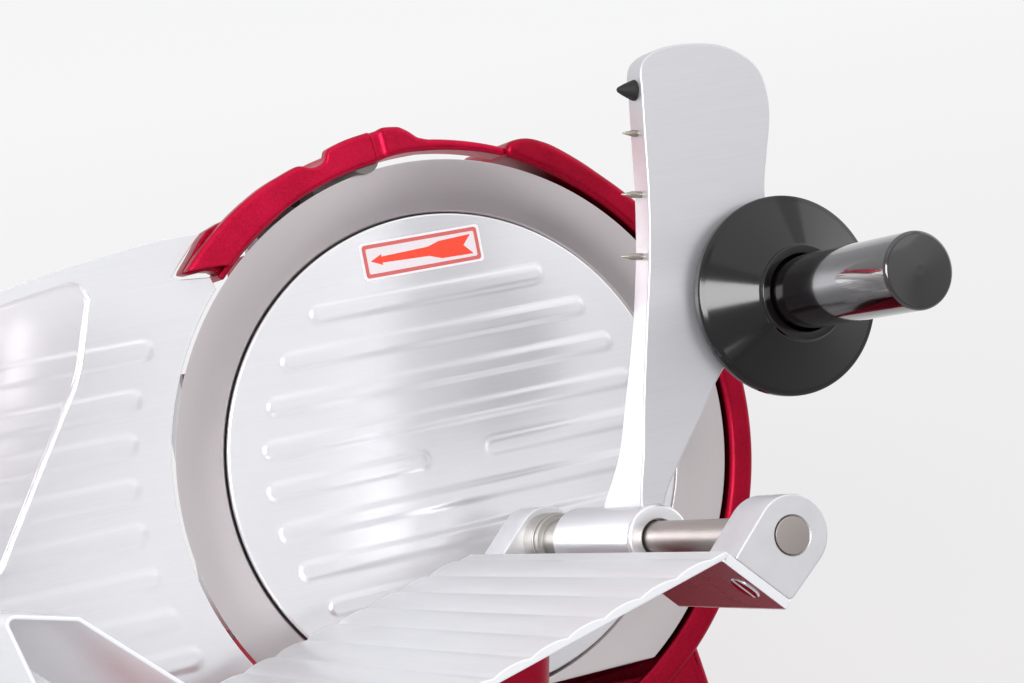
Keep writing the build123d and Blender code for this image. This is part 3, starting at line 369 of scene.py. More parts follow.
# %% [markdown]
# ## Finishes
# Painted, cast and moulded surfaces differ in how their normals are roughened: cells for paint flake, pits
# for castings, a fine grain for plastic. Images would need UV maps; noise on Object coordinates needs
# none.

# %% Paint, cast metal and plastics
def red_paint(name, dark, light, bright):
    """Metallic paint: bright flakes over slow clouds between two reds, under a thin clear coat."""
    s = Shader(name, Coat_Weight=0.05, Coat_Roughness=0.06, Metallic=0.92)
    cells = s.node("TexVoronoi", {"Vector": s.place, "Scale": 2600.0}, out="Color")
    flake = s.node("SeparateColor", {"Color": cells})
    cloud = s.spread(s.noise(60.0, 3.0), 0, 1, 0.3, 0.7)
    colour = s.between(flake * 0.3, s.between(cloud, tint(*dark), tint(*light)), tint(*bright))
    peel = s.bump(s.noise(380.0, 1.0), 0.00002, 0.5)
    return s.done(colour, s.spread(flake, 0.34, 0.46), Normal=peel)


def cast_metal(name, colour, metallic=1.0, rough=(0.45, 0.6), grain=0.5):
    """Cast or blasted metal: fine pits and soft clouds of shade."""
    s = Shader(name, Metallic=metallic)
    pits = s.noise(1500.0, 4.0, 0.7)
    shade = s.between(s.noise(120.0, 3.0), shifted(colour, -14), tint(*colour))
    return s.done(shade, s.spread(pits, *rough), Normal=s.bump(pits, 0.00005, grain))


def plastic(name, colour, rough, grain=0.0, coat=0.0, shine=0.5):
    """Moulded plastic: specks of dust, uneven gloss and a fine grain."""
    s = Shader(name, Coat_Weight=coat, Coat_Roughness=0.03, Specular_IOR_Level=shine)
    dust = s.spread(s.noise(900.0, 2.0), 0, 1, 0.66, 0.8)
    shade = s.between(dust * 0.2, tint(*colour), shifted(colour, 60))
    fine = s.bump(s.noise(2400.0, 2.0), 0.00003, grain)
    return s.done(shade, s.spread(s.noise(70.0, 3.0), *rough), Normal=fine)


def clear_plastic(name):
    """Clear plastic with faint wipe marks."""
    s = Shader(name, Transmission_Weight=1.0, IOR=1.45)
    colour = s.between(s.noise(12.0), tint(253, 249, 251), tint(255, 253, 254))
    rough = s.spread(s.noise(40.0, 3.0), 0.01, 0.03)
    return s.done(colour, rough, Normal=s.bump(s.noise(30.0, 1.0), 0.0003, 0.05))


def ink(name, colour):
    """Printed ink: flat colour with a faint mottle."""
    s = Shader(name)
    mottle = s.between(s.noise(900.0, 2.0), tint(*colour), shifted(colour, 12))
    return s.done(mottle, s.spread(s.noise(300.0), 0.3, 0.4))


RED = red_paint("red_paint", (140, 2, 34), (160, 3, 41), (204, 28, 62))
BRIGHT_RED = red_paint("hood_paint", (172, 6, 46), (192, 10, 56), (228, 40, 80))
BLASTED = cast_metal("blasted_aluminium", (230, 230, 233), rough=(0.42, 0.5), grain=0.25)
CAST = cast_metal("cast_aluminium", (196, 197, 200))
MOTOR_PAINT = cast_metal("motor_enamel", (64, 65, 68), 0.2, (0.35, 0.5))
ABRASIVE = cast_metal("abrasive", (120, 116, 114), 0.3, (0.6, 0.8))
BLACK = plastic("black_gloss", (7, 4, 5), (0.09, 0.15), 0.03)
GRIP_BLACK = plastic("grip_gloss", (14, 9, 11), (0.08, 0.14), 0.02, 0.8, 0.7)
MOULDED = plastic("black_moulded", (20, 20, 21), (0.4, 0.55), 0.5)
RUBBER = plastic("rubber", (16, 16, 17), (0.6, 0.75), 0.8)
NYLON = plastic("nylon", (222, 220, 210), (0.35, 0.5), 0.3)
GREEN = plastic("green_button", (18, 120, 52), (0.15, 0.25), 0.1, 0.6)
STOP_RED = plastic("red_button", (190, 14, 18), (0.15, 0.25), 0.1, 0.6)
CLEAR = clear_plastic("clear_acrylic")
print("finishes so far", len(bpy.data.materials))

# %% [markdown]
# ## Polished, turned and ground metal
# Gauge plate, tray and arm are satin aluminium; blade and rod are steel with the lines of a lathe or
# grinder. An anisotropic shader needs tangents on every mesh. Noise that is stretched, or follows a
# distance, needs none.

# %% Brushed and turned metal
ALONG, ACROSS = (30.0, 1400.0, 1400.0), (1400.0, 26.0, 1400.0)


def satin(name, colour, rough, metal, scales=ALONG, turn=(0, 0, 0), depth=0.000002, under=None):
    """Anodised aluminium, part mirror and part matt, with streaks along the axis of the smallest scale."""
    s = Shader(name, Metallic=metal)
    streaks = s.noise(1.0, 4.0, 0.6, s.stretched(scales, turn))
    shade = s.between(s.spread(streaks, 0, 1, 0.25, 0.75), shifted(colour, -5), tint(*colour))
    brushed = s.bump(streaks, depth, 0.5, under and under(s))
    return s.done(shade, s.spread(s.noise(25.0, 2.0), *rough), Normal=brushed)


def turned_metal(name, origin, colour, rough, pitch=0.0003, depth=0.000004, swirl=0.4):
    """Lathe-turned metal: fine rings round an axis that is parallel to the blade's."""
    s = Shader(name, Metallic=1.0)
    rings = s.lines(s.radius(origin), pitch)
    shade = s.between(s.spread(rings, 0, 1, 0.3, 0.7), shifted(colour, -6), tint(*colour))
    rough = s.spread(s.noise(40.0, 2.0), *rough)
    return s.done(shade, rough, Normal=s.bump(rings, depth, swirl))


def ground_metal(name, direction, colour, rough):
    """Ground metal: fine lines across a direction, so round bars show rings round their length."""
    s = Shader(name, Metallic=1.0)
    lines = s.lines(s.along(BLADE_AXIS, direction), 0.0003)
    shade = s.between(lines, shifted(colour, -26), tint(*colour))
    return s.done(shade, s.spread(lines, *rough), Normal=s.bump(lines, 0.00001, 0.6))


def waist(s):
    """The arm's waist is not quite flat: along v its height changes by three smooth steps."""
    along_v = s.along(BLADE_AXIS, ARROWS[1])
    height = 0.0
    for low, high, rise in ((-0.010, 0.044, 1.5), (0.043, 0.056, -0.5), (0.056, 0.074, 0.35)):
        height = s.step(along_v, low, high) * rise + height
    return s.bump(height, 0.001, 1.0)


ALUMINIUM = satin("polished_aluminium", (230, 230, 233), (0.21, 0.28), 0.58)
# The darker pink tint of this metal is a painted reflection of the red casting beside the tray.
MIRROR_WITH_PAINTED_RED_REFLECTION = satin("flange_aluminium_painted_red_reflection", (206, 196, 199), (0.24, 0.32), 0.9)
TRAY_METAL = satin("tray_aluminium", (232, 233, 236), (0.28, 0.36), 0.5, ACROSS, (-TILT, 0, 0), 0.000006)
ARM_METAL = satin("arm_aluminium", (208, 207, 211), (0.34, 0.42), 0.7, under=waist)
SLEEVE = satin("sleeve_aluminium", (226, 226, 229), (0.24, 0.3), 0.8)
STAINLESS = satin("stainless_sheet", (205, 206, 208), (0.3, 0.4), 0.9)
BLADE_STEEL = turned_metal("blade_steel", BLADE_AXIS, (206, 199, 200), (0.3, 0.36))
ZINC = turned_metal("bright_zinc", BLADE_AXIS, (214, 215, 218), (0.15, 0.25))
SPIKE = turned_metal("spike_steel", BLADE_AXIS, (170, 162, 152), (0.2, 0.3))
ROD_STEEL = ground_metal("rod_steel", ARROWS[2], (184, 176, 172), (0.34, 0.48))
CROSS_STEEL = ground_metal("rail_steel", (1, 0, 0), (208, 205, 200), (0.16, 0.28))
BRONZE = ground_metal("bronze", (1, 0, 0), (190, 150, 92), (0.25, 0.4))
HOUSING = RED, "machine", "body_red"
POLISHED = "polished_aluminium"
COVER, GAUGE = (ALUMINIUM, "machine", POLISHED), (ALUMINIUM, "gauge", POLISHED)
ON_TRAY = "carriage", POLISHED
print("all finishes", len(bpy.data.materials))

# %% [markdown]
# ## The blade
# The blade is a thin steel dish with a bevel ground round its rim. A cylinder with a Bevel modifier would
# only suggest it. A profile turned round the axis gives the facets of the edge exactly.

# %% Turn the blade
FRONT_OF_BLADE = ((19, -12), (60, -12), (80, -10.5), (99.6, -9.2), (103.2, -5.0), (103.8, -4.5))
EDGE_OF_BLADE = ((108, -3.7), (124.6, -0.25), (125, -0.3), (124.6, -0.6), (123, -2.4))
BACK_OF_BLADE = ((112, -8), (98, -13), (60, -17), (19, -17))
blade_profile = FRONT_OF_BLADE + EDGE_OF_BLADE + BACK_OF_BLADE
stack("cutting_disc", turned(blade_profile, around=320), BLADE_STEEL, "blade", "blade_steel", closed=True,
      nodes=("blade",), crease=25)

# %% [markdown]
# ## The blade's cover
# A fixed ribbed disc covers the middle of the blade. Booleans could carve it but leave long thin faces
# that shade badly. So it is a height field: a square grid mapped onto the disc, raised near each rib.

# %% Raise ribs on the cover disc
COVER_R, COVER_FACE, RIM_ROUND = 102.2, -3.0, 0.8
RIB_REACH, RIB_PITCH = 88, 17.2


def ribs(u, v, strokes, width, height, soft):
    """The height of raised ribs at (u, v).

    A rib has its full height as far from its stroke (left, right, v) as half the width less `soft`, and
    falls to nothing over `soft` along 3t^2 - 2t^3.
    """
    total = np.zeros_like(u)
    for left, right, row in strokes:
        away = np.hypot(u - np.clip(u, left + width / 2, right - width / 2), v - row)
        t = np.clip((width / 2 - away) / soft, 0, 1)
        total = np.maximum(total, height * t * t * (3 - 2 * t))
    return total


def round_grid(radius, count):
    """A square grid mapped onto a disc: x goes to x sqrt(1 - y^2 / 2), and y the same way."""
    x, y = np.meshgrid(np.linspace(-1, 1, count), np.linspace(-1, 1, count), indexing="ij")
    return radius * x * np.sqrt(1 - y * y / 2), radius * y * np.sqrt(1 - x * x / 2)


rib_rows = RIB_PITCH * np.arange(-4, 5)
reach = np.sqrt(RIB_REACH**2 - rib_rows**2)
strokes = [(-r, r, row) for r, row in zip(reach, rib_rows) if row]
strokes += [(-RIB_REACH, -13, 0), (11, RIB_REACH, 0)]
u, v = round_grid(COVER_R - RIM_ROUND, 231)
face = np.stack((u, v, COVER_FACE + ribs(u, v, strokes, 9.6, 0.6, 2.8)), -1)
add("cover_face", by_blade(face), joined(face.shape[:2], False), *COVER, crease=60)
rim = np.array(((COVER_R - RIM_ROUND, COVER_FACE), (COVER_R - 0.35, -3.12), (COVER_R - 0.1, -3.35),
                (COVER_R, -3.8), (COVER_R, -5), (9, -5), (9, -13.2), (4.1, -13.2)))
stack("cover_rim", turned(rim, around=320), *COVER, nodes=("blade_cover",), rim=True)
print(len(strokes), "ribs on the cover")

# %% [markdown]
# ## The label
# A small printed label with an arrow tells which way the blade turns. An image on a plane would do, but
# four thin plates stay sharp. Each lies 0.03 mm over the one below, so no two faces share a plane.

# %% Print the label
LABEL, PRINT_DEPTH, PRINT_STEP = np.array((0.7, 86.4)), 0.06, 0.03


def decal(name, outline, top, colour):
    """A thin printed shape on the cover disc."""
    rings = plate(np.asarray(outline, float), top - PRINT_DEPTH, top, PRINT_STEP, 1)
    return stack(name, rings, ink(name, colour), "machine", POLISHED)


def box_at(half_wide, half_high, corner):
    """A rectangle with rounded corners about the middle of the label."""
    corners = np.array(((-1, -1), (1, -1), (1, 1), (-1, 1))) * (half_wide, half_high)
    return rounded(corners + LABEL, corner)


decal("label_paper", box_at(27.8, 8.0, 1.6), -2.88, (222, 219, 222))
decal("label_frame", box_at(26.6, 7.0, 1.4), -2.85, (196, 92, 88))
decal("label_field", box_at(25.0, 5.4, 0.7), -2.82, (216, 208, 211))
arrow_tail = ((-23.6, 0), (-18.0, -2.5), (-18.6, -1.3), (3.0, -2.0), (8.6, -3.9), (23.4, -4.2))
arrow_head = ((19.4, 0), (23.4, 4.2), (8.6, 3.6), (3.0, 2.0), (-18.6, 1.3), (-18.0, 2.5))
decal("label_arrow", rounded(np.array(arrow_tail + arrow_head) + LABEL, 0.2), -2.79, (226, 66, 44))

# %% [markdown]
# ## Ring guard
# A red cast ring stands round the part of the blade that does not cut. A bevelled curve would have one
# section everywhere. Here a rounded section is swept round the axis and changes with the angle.

# %% Sweep the ring guard
RING_INNER, RING_OUTER, RING_BACK, RING_FRONT = 127, 138, -46.0, 2.6


def swept(angles, inner, outer, back, front, edge=2.2, lean=0.0, low=None, steps=5):
    """Rings of a bar bent round the blade: at each angle a rounded rectangle between two radii and heights.

    Behind the first 7 mm the outer radius may be a lower one. Where the bar leans, the angle grows with the
    radius by `lean` degrees per millimetre.
    """
    shapes = np.broadcast_arrays(angles, inner, outer, back, front, lean, outer if low is None else low)
    rings = []
    for a, r0, r1, n0, n1, slant, r2 in zip(*shapes):
        r2, step = min(r2, r1 - 0.02), max(n1 - 7, n0 + 1)
        corners = (r0, n0), (r2, n0), (r2, step), (r1, step), (r1, n1), (r0, n1)
        tight = min(edge, (r1 - r0) * 0.42, (n1 - n0) * 0.42)
        radii = (tight, tight * 0.5, 0.01, min(0.5, (r1 - r2) * 0.4), tight, tight)
        section = even(rounded(corners, radii, steps), 96)
        angle = a + slant * (section[:, 0] - r0)
        rings.append(np.column_stack((polar(section[:, 0], angle), section[:, 1])))
    return np.stack(rings)


def ends_rounded(start, stop, count, edge, radius):
    """Angles from start to stop, and at each the shrink in millimetres that rounds the two ends."""
    angles = np.linspace(start, stop, count)
    tip = np.degrees(edge / radius)
    extra = tip * (1 - np.cos(np.linspace(0, np.pi / 2, 7)[:-1]))
    angles = np.unique(np.concatenate((angles, start + extra, stop - extra)))
    t = np.clip(np.minimum(angles - start, stop - angles) / tip, 0, 1)
    return angles, edge * (1 - np.sqrt(1 - (1 - t) ** 2))


swell = ((-130, 0), (50, 0), (57, 0.5), (62, 1.1), (66, 0.6), (68.4, -1.6), (71, -5.5))
angles, shrink = ends_rounded(-128, 70, 300, 2.2, RING_OUTER)
outer = RING_OUTER + smooth(angles, swell, 2.4)
front = RING_FRONT + smooth(angles, ((-130, 0), (50, 0), (58, 2.4), (63, 3.6), (71, 3.6)), 4)
inner = RING_INNER + smooth(angles, ((-130, 0), (58, 0), (64, 0.3), (71, 1.5)), 4)
guard_ring = swept(angles, inner + shrink, outer - shrink, RING_BACK, front - shrink, 2.4)
stack("ring_guard", guard_ring, *HOUSING)

# %% [markdown]
# ## Sharpener hood
# The sharpener hides under a brighter red hood, with a crest in humps and a groove between cover and base.
# It could be sculpted, but a list of radii by angle says the same in a few numbers.

# %% Sweep the hood and its skirt
START, STOP, HOOD_LOW, GROOVE_AT, GROOVE_HALF = 69.6, 132.6, 137.3, 95.2, 1.35
crest = ((69, 131.9), (73.5, 132.3), (79.5, 132.8), (85.3, 133.4), (87.2, 134.6), (88.9, 137.7))
crest += ((90.6, 140), (93.4, 140.9), (97, 140.4), (101, 140.4), (103.8, 139.9), (104.9, 139.5))
crest += ((105.5, 136.4), (106.5, 135.3), (107.9, 135.2), (109, 136.2), (109.9, 138.3), (110.9, 139.4))
crest += ((114.5, 139.9), (118.3, 140.9), (123, 141.5), (130, 142), (134, 142))
face_line = ((69, 3.6), (87, 3.6), (92, 5.6), (117, 5.6), (119.4, 6.6), (134, 6.6))

angles, shrink = ends_rounded(START, STOP, 340, 2.0, RING_OUTER)
groove = np.sqrt(np.clip(1 - ((angles - GROOVE_AT) / GROOVE_HALF) ** 2, 0, 1))
inner = np.interp(angles, (START, 90, 94, 97, STOP), (128.6, 128.6, 128.2, 127, 127.4))
outer = smooth(angles, crest, 0.9) - 0.5 * groove
front = smooth(angles, face_line, 1.2) - 1.7 * groove
back = np.interp(angles, (START, 86, 92, 118, 122, STOP), (-12, -12, -25, -25, -14, -12))
lean = np.interp(angles, (116, STOP), (0, 0.4))
hood = swept(angles, inner + shrink, outer - shrink, back + shrink, front - shrink, 2.0, lean, HOOD_LOW)
stack("sharpener_hood", hood, BRIGHT_RED, "machine", "body_red", nodes=("sharpener_cover",))
angles, shrink = ends_rounded(118, 135.2, 60, 0.8, 128)
skirt = swept(angles, 126.6 + shrink, 129.4 - shrink, -12 + shrink, 3.4 - shrink, 0.8)
stack("hood_skirt", skirt, *HOUSING)
shoe = ((-84, 113.5), (-91.6, 110.6), (-95.1, 107.2), (-99.7, 101.7), (-104.2, 96.7), (-105.2, 94.9))
shoe += ((-102.2, 94.1), (-95.6, 94.5), (-92.2, 93.9), (-89.4, 91.9), (-84, 98))
stack("hood_shoe", plate(rounded(shoe, 0.6, 3), -11, -0.6, 0.7), *HOUSING)

# %% [markdown]
# ## The rest of the blade housing
# Behind the ring the casting goes on as a wall, a hub, a side wall and the column. Booleans would make one
# mesh of them. The seams are hidden or straight, so closed plates that overlap show the same.

# %% Build the wall, column and hub
WALL_R, COLUMN_R = 136.0, 132.5
RING_SIDE = np.concatenate((np.linspace(46.5, -43.5, 90), np.linspace(-43.5, -128, 90)))
wall = np.concatenate((polar(WALL_R, RING_SIDE), ((-95, -76), (-72, -60), (-72, 99), (94, 99))))
stack("housing_wall", plate(rounded(wall, 0.5, 2), -46, -40, 1.2), *HOUSING)
right_side = curve(((91, -103), (93.6, -120.8), (97, -150), (100.6, -166)), 6)
under_ring = polar(COLUMN_R, np.linspace(-131, -49.5, 60))
column = np.concatenate((under_ring, right_side, ((-80, -166), (-84, -112))))
stack("column", plate(rounded(column, 1.0, 2), -45.7, 0.2, 2.5), *HOUSING)
side = rounded(((-72, -62), (-67, -62), (-67, 99), (-72, 99)), 1.0)
stack("side_wall", plate(side, -42, -20, 1.2), *HOUSING)
boss = rounded(((24, -41), (24, -66), (10.2, -66), (10.2, -41)), 1.6, 4)
stack("hub_boss", turned(boss), *HOUSING, closed=True, nodes=("blade_housing",))

# %% [markdown]
# ## Thickness gauge plate
# The food leans on this big ribbed plate, which sets the thickness of a slice. A Boolean could cut the
# blade's arc out of it. Instead it is a grid of rows across v, each from the left edge to the arc.

# %% Lay out the rows of the gauge plate
ROW_CLEARANCE, TOP_CLEARANCE, NOTCH_LOW, NOTCH_HIGH = 126.9, 145.2, 86.6, 93.9
low_corner = rounded(((-306, -94.3), (-319.3, -94.3), (-319.3, 14)), 12, 10, False)
shoulder = ((-319.3, 14), (-295.4, 52.6), (-239.6, 81), (-178.8, 100.3), (-120, 108.9), (-95.4, 109.3))
left_edge = even(np.concatenate((low_corner[:-1], curve(shoulder, 16))), 330, False)
notch = np.array(((NOTCH_LOW, -92.9), (91.2, -94.2), (92.4, -107.4), (NOTCH_HIGH, -110.4)))

climbing = np.maximum.accumulate(left_edge[:, 1] + np.arange(330) * 1e-6)
v = np.sort(np.append(climbing, notch[:, 0]))
u_left = np.interp(v, climbing, left_edge[:, 0])
by_the_edge = -np.sqrt(np.maximum(ROW_CLEARANCE**2 - v**2, 1))
by_the_hood = -np.sqrt(np.maximum(TOP_CLEARANCE**2 - v**2, 1))
u_right = np.select((v < NOTCH_LOW, v < NOTCH_HIGH), (by_the_edge, np.interp(v, *notch.T)), by_the_hood)
print("rows of the gauge plate", len(v))

# %% Make the gauge plate and its rim
def rim_under(grid, depth, edge):
    """Rings that carry on from the border of a grid: rounded over, down, and rounded again at the back."""
    border = np.concatenate((grid[0, :-1], grid[:-1, -1], grid[-1, :0:-1], grid[:0:-1, 0]))
    a = np.linspace(0, np.pi / 2, 5)
    insets = -edge * np.concatenate((np.sin(a), np.cos(a)))
    heights = np.concatenate((edge * (np.cos(a) - 1), -depth + edge * (1 - np.sin(a))))
    rings = levels(border[:, :2], insets, heights)
    rings[..., 2] += border[:, 2].min()
    return rings


GAUGE_RIBS = (67, 48, 31, 13, -5, -24, -41, -58)
across = np.linspace(0, 1, 161)
u = u_left[:, None] + (u_right - u_left)[:, None] * across
v = np.repeat(v[:, None], 161, 1)
strokes = [(-301, -np.sqrt(140**2 - row**2), row) for row in GAUGE_RIBS]
face = np.stack((u, v, ribs(u, v, strokes, 10.6, 0.65, 2.6)), -1)
add("gauge_face", by_blade(face), joined(face.shape[:2], False), *GAUGE, crease=60)
stack("gauge_rim", rim_under(face, 4, 0.35), *GAUGE, nodes=("gauge_plate",), rim=True)

# %% [markdown]
# ## Food tray
# The tray is one bent sheet: a floor with ten ridges, a fence, a lip and a hem. Solidify could thicken a
# folded plane, but the ridges rise on the upper side only. So one path is offset to both sides.

# %% Bend the tray
TRAY_NEAR, TRAY_FAR, SHEET, FLOOR_SHEET = 22, 245, 1.4, 2.2
RIDGE_START, RIDGE_STOP, RIDGE_PITCH, RIDGE_HIGH, RIDGE_POWER = 6, 152, 14.6, 1.1, 2.4
TRAY_END, TRAY_LOW = np.array((-14.4, -40.7)), np.array((-166.6, -77.6))
TRAY_HIGH, TRAY_LIP, TRAY_HEM = np.array((-232.8, -14.1)), np.array((-256.5, -8)), np.array((-247, -46))


def thick(path, rise, thickness):
    """A closed outline of a sheet: the path raised on its left, and moved to its right for the back."""
    along = unit(np.gradient(path, axis=0))
    normal = np.stack((-along[:, 1], along[:, 0]), -1)
    upper, lower = path + normal * np.reshape(rise, (-1, 1)), path - normal * np.reshape(thickness, (-1, 1))
    return np.concatenate((upper, lower[::-1]))


path = rounded((TRAY_HEM, TRAY_LIP, TRAY_HIGH, TRAY_LOW, TRAY_END), (0, 3, 3, 6, 0), 10, False)
path = even(path, 680, False)
from_end = (TRAY_END - path) @ unit(TRAY_END - TRAY_LOW)
on_floor = (from_end > RIDGE_START) & (from_end < RIDGE_STOP) & (path[:, 0] > -162.5)
turn = ((from_end - RIDGE_START) / RIDGE_PITCH) % 1
rise = np.where(on_floor, RIDGE_HIGH * (1 - np.abs(2 * turn - 1) ** RIDGE_POWER), 0)
thinning = np.interp(from_end, (146, 155), (FLOOR_SHEET, SHEET))
sheet = thick(path, rise, np.where(path[:, 0] > -164, thinning, SHEET))
stack("tray_sheet", plate(sheet, TRAY_NEAR, TRAY_FAR, 0.5, 3), TRAY_METAL, *ON_TRAY,
      nodes=("food_tray",), crease=40, sheet=True)

# %% [markdown]
# ## Flange and its screw
# The tray's edge folds into a flange for the lugs of the pusher's rod, with a gap for the arm's hub. It
# could be part of the sheet. As short pieces, its polished underside has its own finish, whose darker pink
# tint is a painted reflection of the red casting.

# %% Fold the flange and set the screw
SCREW_R, SCREW_DOME, SLOT_HALF, SLOT_DEEP = 5.6, 0.6, 0.8, 0.9
FLANGE, SCREW_AT = polar(1.0, -46), (17, 235.5)
bend = np.array((TRAY_END + unit(TRAY_LOW - TRAY_END) * 4, TRAY_END, TRAY_END + FLANGE * 30))
bend = even(bend, 60, False)
flange = thick(bend, -0.02, np.where(np.arange(60) < 8, 2.15, 3.4))
polish = thick(bend[9:-1], -3.3, 3.42)
# The undersides get a metal whose pink tint is a painted reflection of the red casting.
for name, near, far in (("flange_inner", 22.1, 58), ("flange_outer", 165, 244.9)):
    stack(name, plate(flange, near, far, 0.4, 3), TRAY_METAL, *ON_TRAY, crease=40, sheet=True)
    stack(name + "_underside", plate(polish, near + 0.4, far - 0.4, 0.01, 1), MIRROR_WITH_PAINTED_RED_REFLECTION, "carriage",
          POLISHED, sheet=True)

u, v = round_grid(SCREW_R, 61)
far_from_rim = np.clip((SCREW_R - np.hypot(u, v)) / 0.9, 0, 1)
slot = np.clip((SLOT_HALF - np.abs(v)) / 0.2, 0, 1)
height = SCREW_DOME * np.sqrt(1 - (1 - far_from_rim) ** 2) - SLOT_DEEP * slot
under = np.array((FLANGE[1], -FLANGE[0]))
seat = TRAY_END + FLANGE * SCREW_AT[0] + under * 3.4
flat = seat + u[..., None] * FLANGE + height[..., None] * under
head = np.concatenate((flat, SCREW_AT[1] + v[..., None]), -1)
add("flange_screw", by_blade(head), joined(u.shape, False), ZINC, *ON_TRAY, crease=40)

# %% [markdown]
# ## Rod and lugs of the pusher
# Two lugs hold a steel rod, on which the pusher's sleeve slides and swings. Booleans could cut the holes.
# Here a ring of outline points is joined to a ring of bore points, so a lug's faces stay flat.

# %% Lugs, rod and sleeve
ROD, LUG_MIDDLE, LUG_R, LUG_BORE = np.array((11.6, -40.7)), (11.9, -40.3), 13.6, 6.7


def bored(outline, bore, back, front, edge=1.2, steps=4):
    """Rings of a plate with a round hole: over the plate's edge, then through the bore to the back.

    Each point of the bore lies on the line from its middle to a point of the outline.
    """
    outward = unit(outline - ROD)
    mouth, tube = ROD + outward * (bore + 0.5), ROD + outward * bore
    down = ((mouth, front), (tube, front - 0.5), (tube, back + 0.5), (mouth, back))
    return np.concatenate((plate(outline, back, front, edge, steps), [lifted(*pair) for pair in down]))


arc = LUG_MIDDLE + polar(LUG_R, np.linspace(-48, 133, 60))
heel = (TRAY_END + FLANGE * 4.2, TRAY_END + FLANGE * 29.9)
lug = even(rounded(np.concatenate((arc, heel)), np.append(np.zeros(60), (1.0, 1.8)), 5), 240)
for name, near, far in (("lug_inner", 24, 44), ("lug_outer", 223, TRAY_FAR)):
    rings = bored(anticlockwise(lug), LUG_BORE, near, far, 0.6, 3)
    stack(name, rings, BLASTED, *ON_TRAY, closed=True, nodes=("rod_lugs",), crease=20)
bored_face = by_blade((*ROD, 0))
machined = turned_metal("machined_face", bored_face, (176, 173, 169), (0.3, 0.45), 0.0007, 0.00008, 0.9)
boss = rounded(((LUG_BORE, 43), (11.4, 43), (11.4, 53), (LUG_BORE, 53)), 0.5, 3)
stack("lug_boss", turned(boss, *ROD), machined, *ON_TRAY, closed=True)
rod_profile = ((5.9, 24), (6.5, 24.5), (6.5, 245.1), (6.3, 245.35), (6.0, 245.4))
stack("rod", turned(rod_profile, *ROD), ROD_STEEL, "carriage", "ground_steel", nodes=("pusher_rod",))
bush = rounded(((6.56, 54), (11, 54), (11, 57), (8.6, 57), (8.6, 140.8), (6.56, 140.8)), 0.4, 3)
stack("bush", turned(bush, *ROD), machined, "pusher_slider", "bronze_sleeve", closed=True,
      nodes=("pusher_bush",))
hub = ((8.66, 76), (13, 76), (13, 145), (7.3, 145), (7.3, 141.1), (8.66, 141.1))
hub = rounded(hub, (0.5, 1.6, 1.6, 0.5, 0.2, 0.2), 5)
stack("sleeve", turned(hub, *ROD), SLEEVE, "pusher", POLISHED, closed=True)

# %% [markdown]
# ## Pusher arm
# The arm is a cast plate that narrows at a waist and ends in a broad head. Subdivision would round it but
# move its outline. Here a curve runs round it, and near the sleeve the back rings lie lower and make a
# gusset.

# %% Draw the arm
ARM_BACK, ARM_FRONT, ARM_EDGE, ARM_POINTS = 128.0, 140.0, 0.8, 460
leading = ((12.4, -36), (9.2, -27.3), (14.5, -7.4), (18.7, 10.9), (25.5, 36.5), (32.4, 62.2), (37.4, 86.5))
leading = curve(leading + ((40.8, 109.6), (43.4, 127)), 10)
trailing = ((43.4, 127), (44.2, 133.4), (47.4, 138), (54.7, 140.8), (67.5, 141), (80.6, 138.6), (90.6, 133))
trailing += ((95.9, 126), (97.2, 116.5), (95.9, 107), (92, 95), (87.6, 80), (86, 60), (80, 38), (66.5, 24))
trailing = curve(trailing + ((53.8, 15.1), (40.5, -1), (28.8, -14.8), (20.5, -26), (16, -38)), 10)
arm = even(np.concatenate((leading[:-1], trailing))[::-1], ARM_POINTS)
gusset = ((-60, 26), (-36, 24), (-27, 21), (-20, 15), (-10, 9.6), (1, 6.2), (14, 3.6), (28, 1.2))
gusset += ((40, 0), (160, 0))
on_leading = np.abs(arm[:, None] - even(leading, 1500, False)).sum(2).min(1) < 0.5
deep = on_leading * smooth(arm[:, 1], gusset, 8)
thin = np.clip(deep / 4, 0, 1)

over = ARM_EDGE * (1 - np.cos(np.linspace(0, np.pi / 2, 6)))
inwards = ARM_EDGE * (1 - np.sin(np.linspace(0, np.pi / 2, 6)))
rings = [lifted(inset(arm, ARM_EDGE + 7.0 * thin), ARM_BACK)]
rings += [lifted(inset(arm, ARM_EDGE + 5.5 * thin), ARM_BACK - deep * 0.96)]
rings += [lifted(inset(arm, inward), ARM_BACK - deep + up) for inward, up in zip(inwards, over)]
rings += [lifted(inset(arm, inward), ARM_FRONT - down) for inward, down in zip(over, inwards)]
rings += [lifted(inset(arm, ARM_EDGE * 1.4), ARM_FRONT)]
stack("arm", np.stack(rings), ARM_METAL, "pusher", POLISHED, nodes=("pusher_arm",), crease=30)
print("gusset", deep.max().round(1), "mm deep")

# %% [markdown]
# ## Spikes and bumper
# Three steel spikes on the leading edge grip the food, and a rubber bumper stops the arm. Cones would be
# nearly right. A short turned profile adds the shank and the blunt tip.

# %% Turn the spikes and the bumper
ARM_MIDDLE, SPIKES_POINT = 134.0, 170
SPIKE_PROFILE = ((1.3, -2), (1.3, 4.6), (1.1, 5.2), (0.3, 8.6), (0.1, 8.9))
BUMPER_PROFILE = ((4, -1), (4, 0.4), (3.6, 1.4), (2.2, 4.6), (1.0, 6.8), (0.5, 7.2))


def prong(name, place, profile, material, slot, nodes):
    """A turned piece that points out of the leading edge: its profile is (radius, distance) pairs."""
    rings = turned(profile, around=32)
    out, up = np.append(polar(1.0, SPIKES_POINT), 0), np.array((0, 0, 1.0))
    side = np.cross(up, out)
    placed = np.array((*place, ARM_MIDDLE)) + rings[..., :1] * side + rings[..., 1:2] * up
    return stack(name, placed + rings[..., 2:] * out, material, "pusher", slot, nodes=nodes)


for index, place in enumerate(((43.5, 110.1), (38, 87.2), (32.9, 64))):
    prong(f"spike_{index + 1}", place, SPIKE_PROFILE, SPIKE, "spike_steel", ("pusher_spikes",))
prong("bumper", (43.2, 127), BUMPER_PROFILE, RUBBER, "foot_rubber", ("rubber_bumper",))

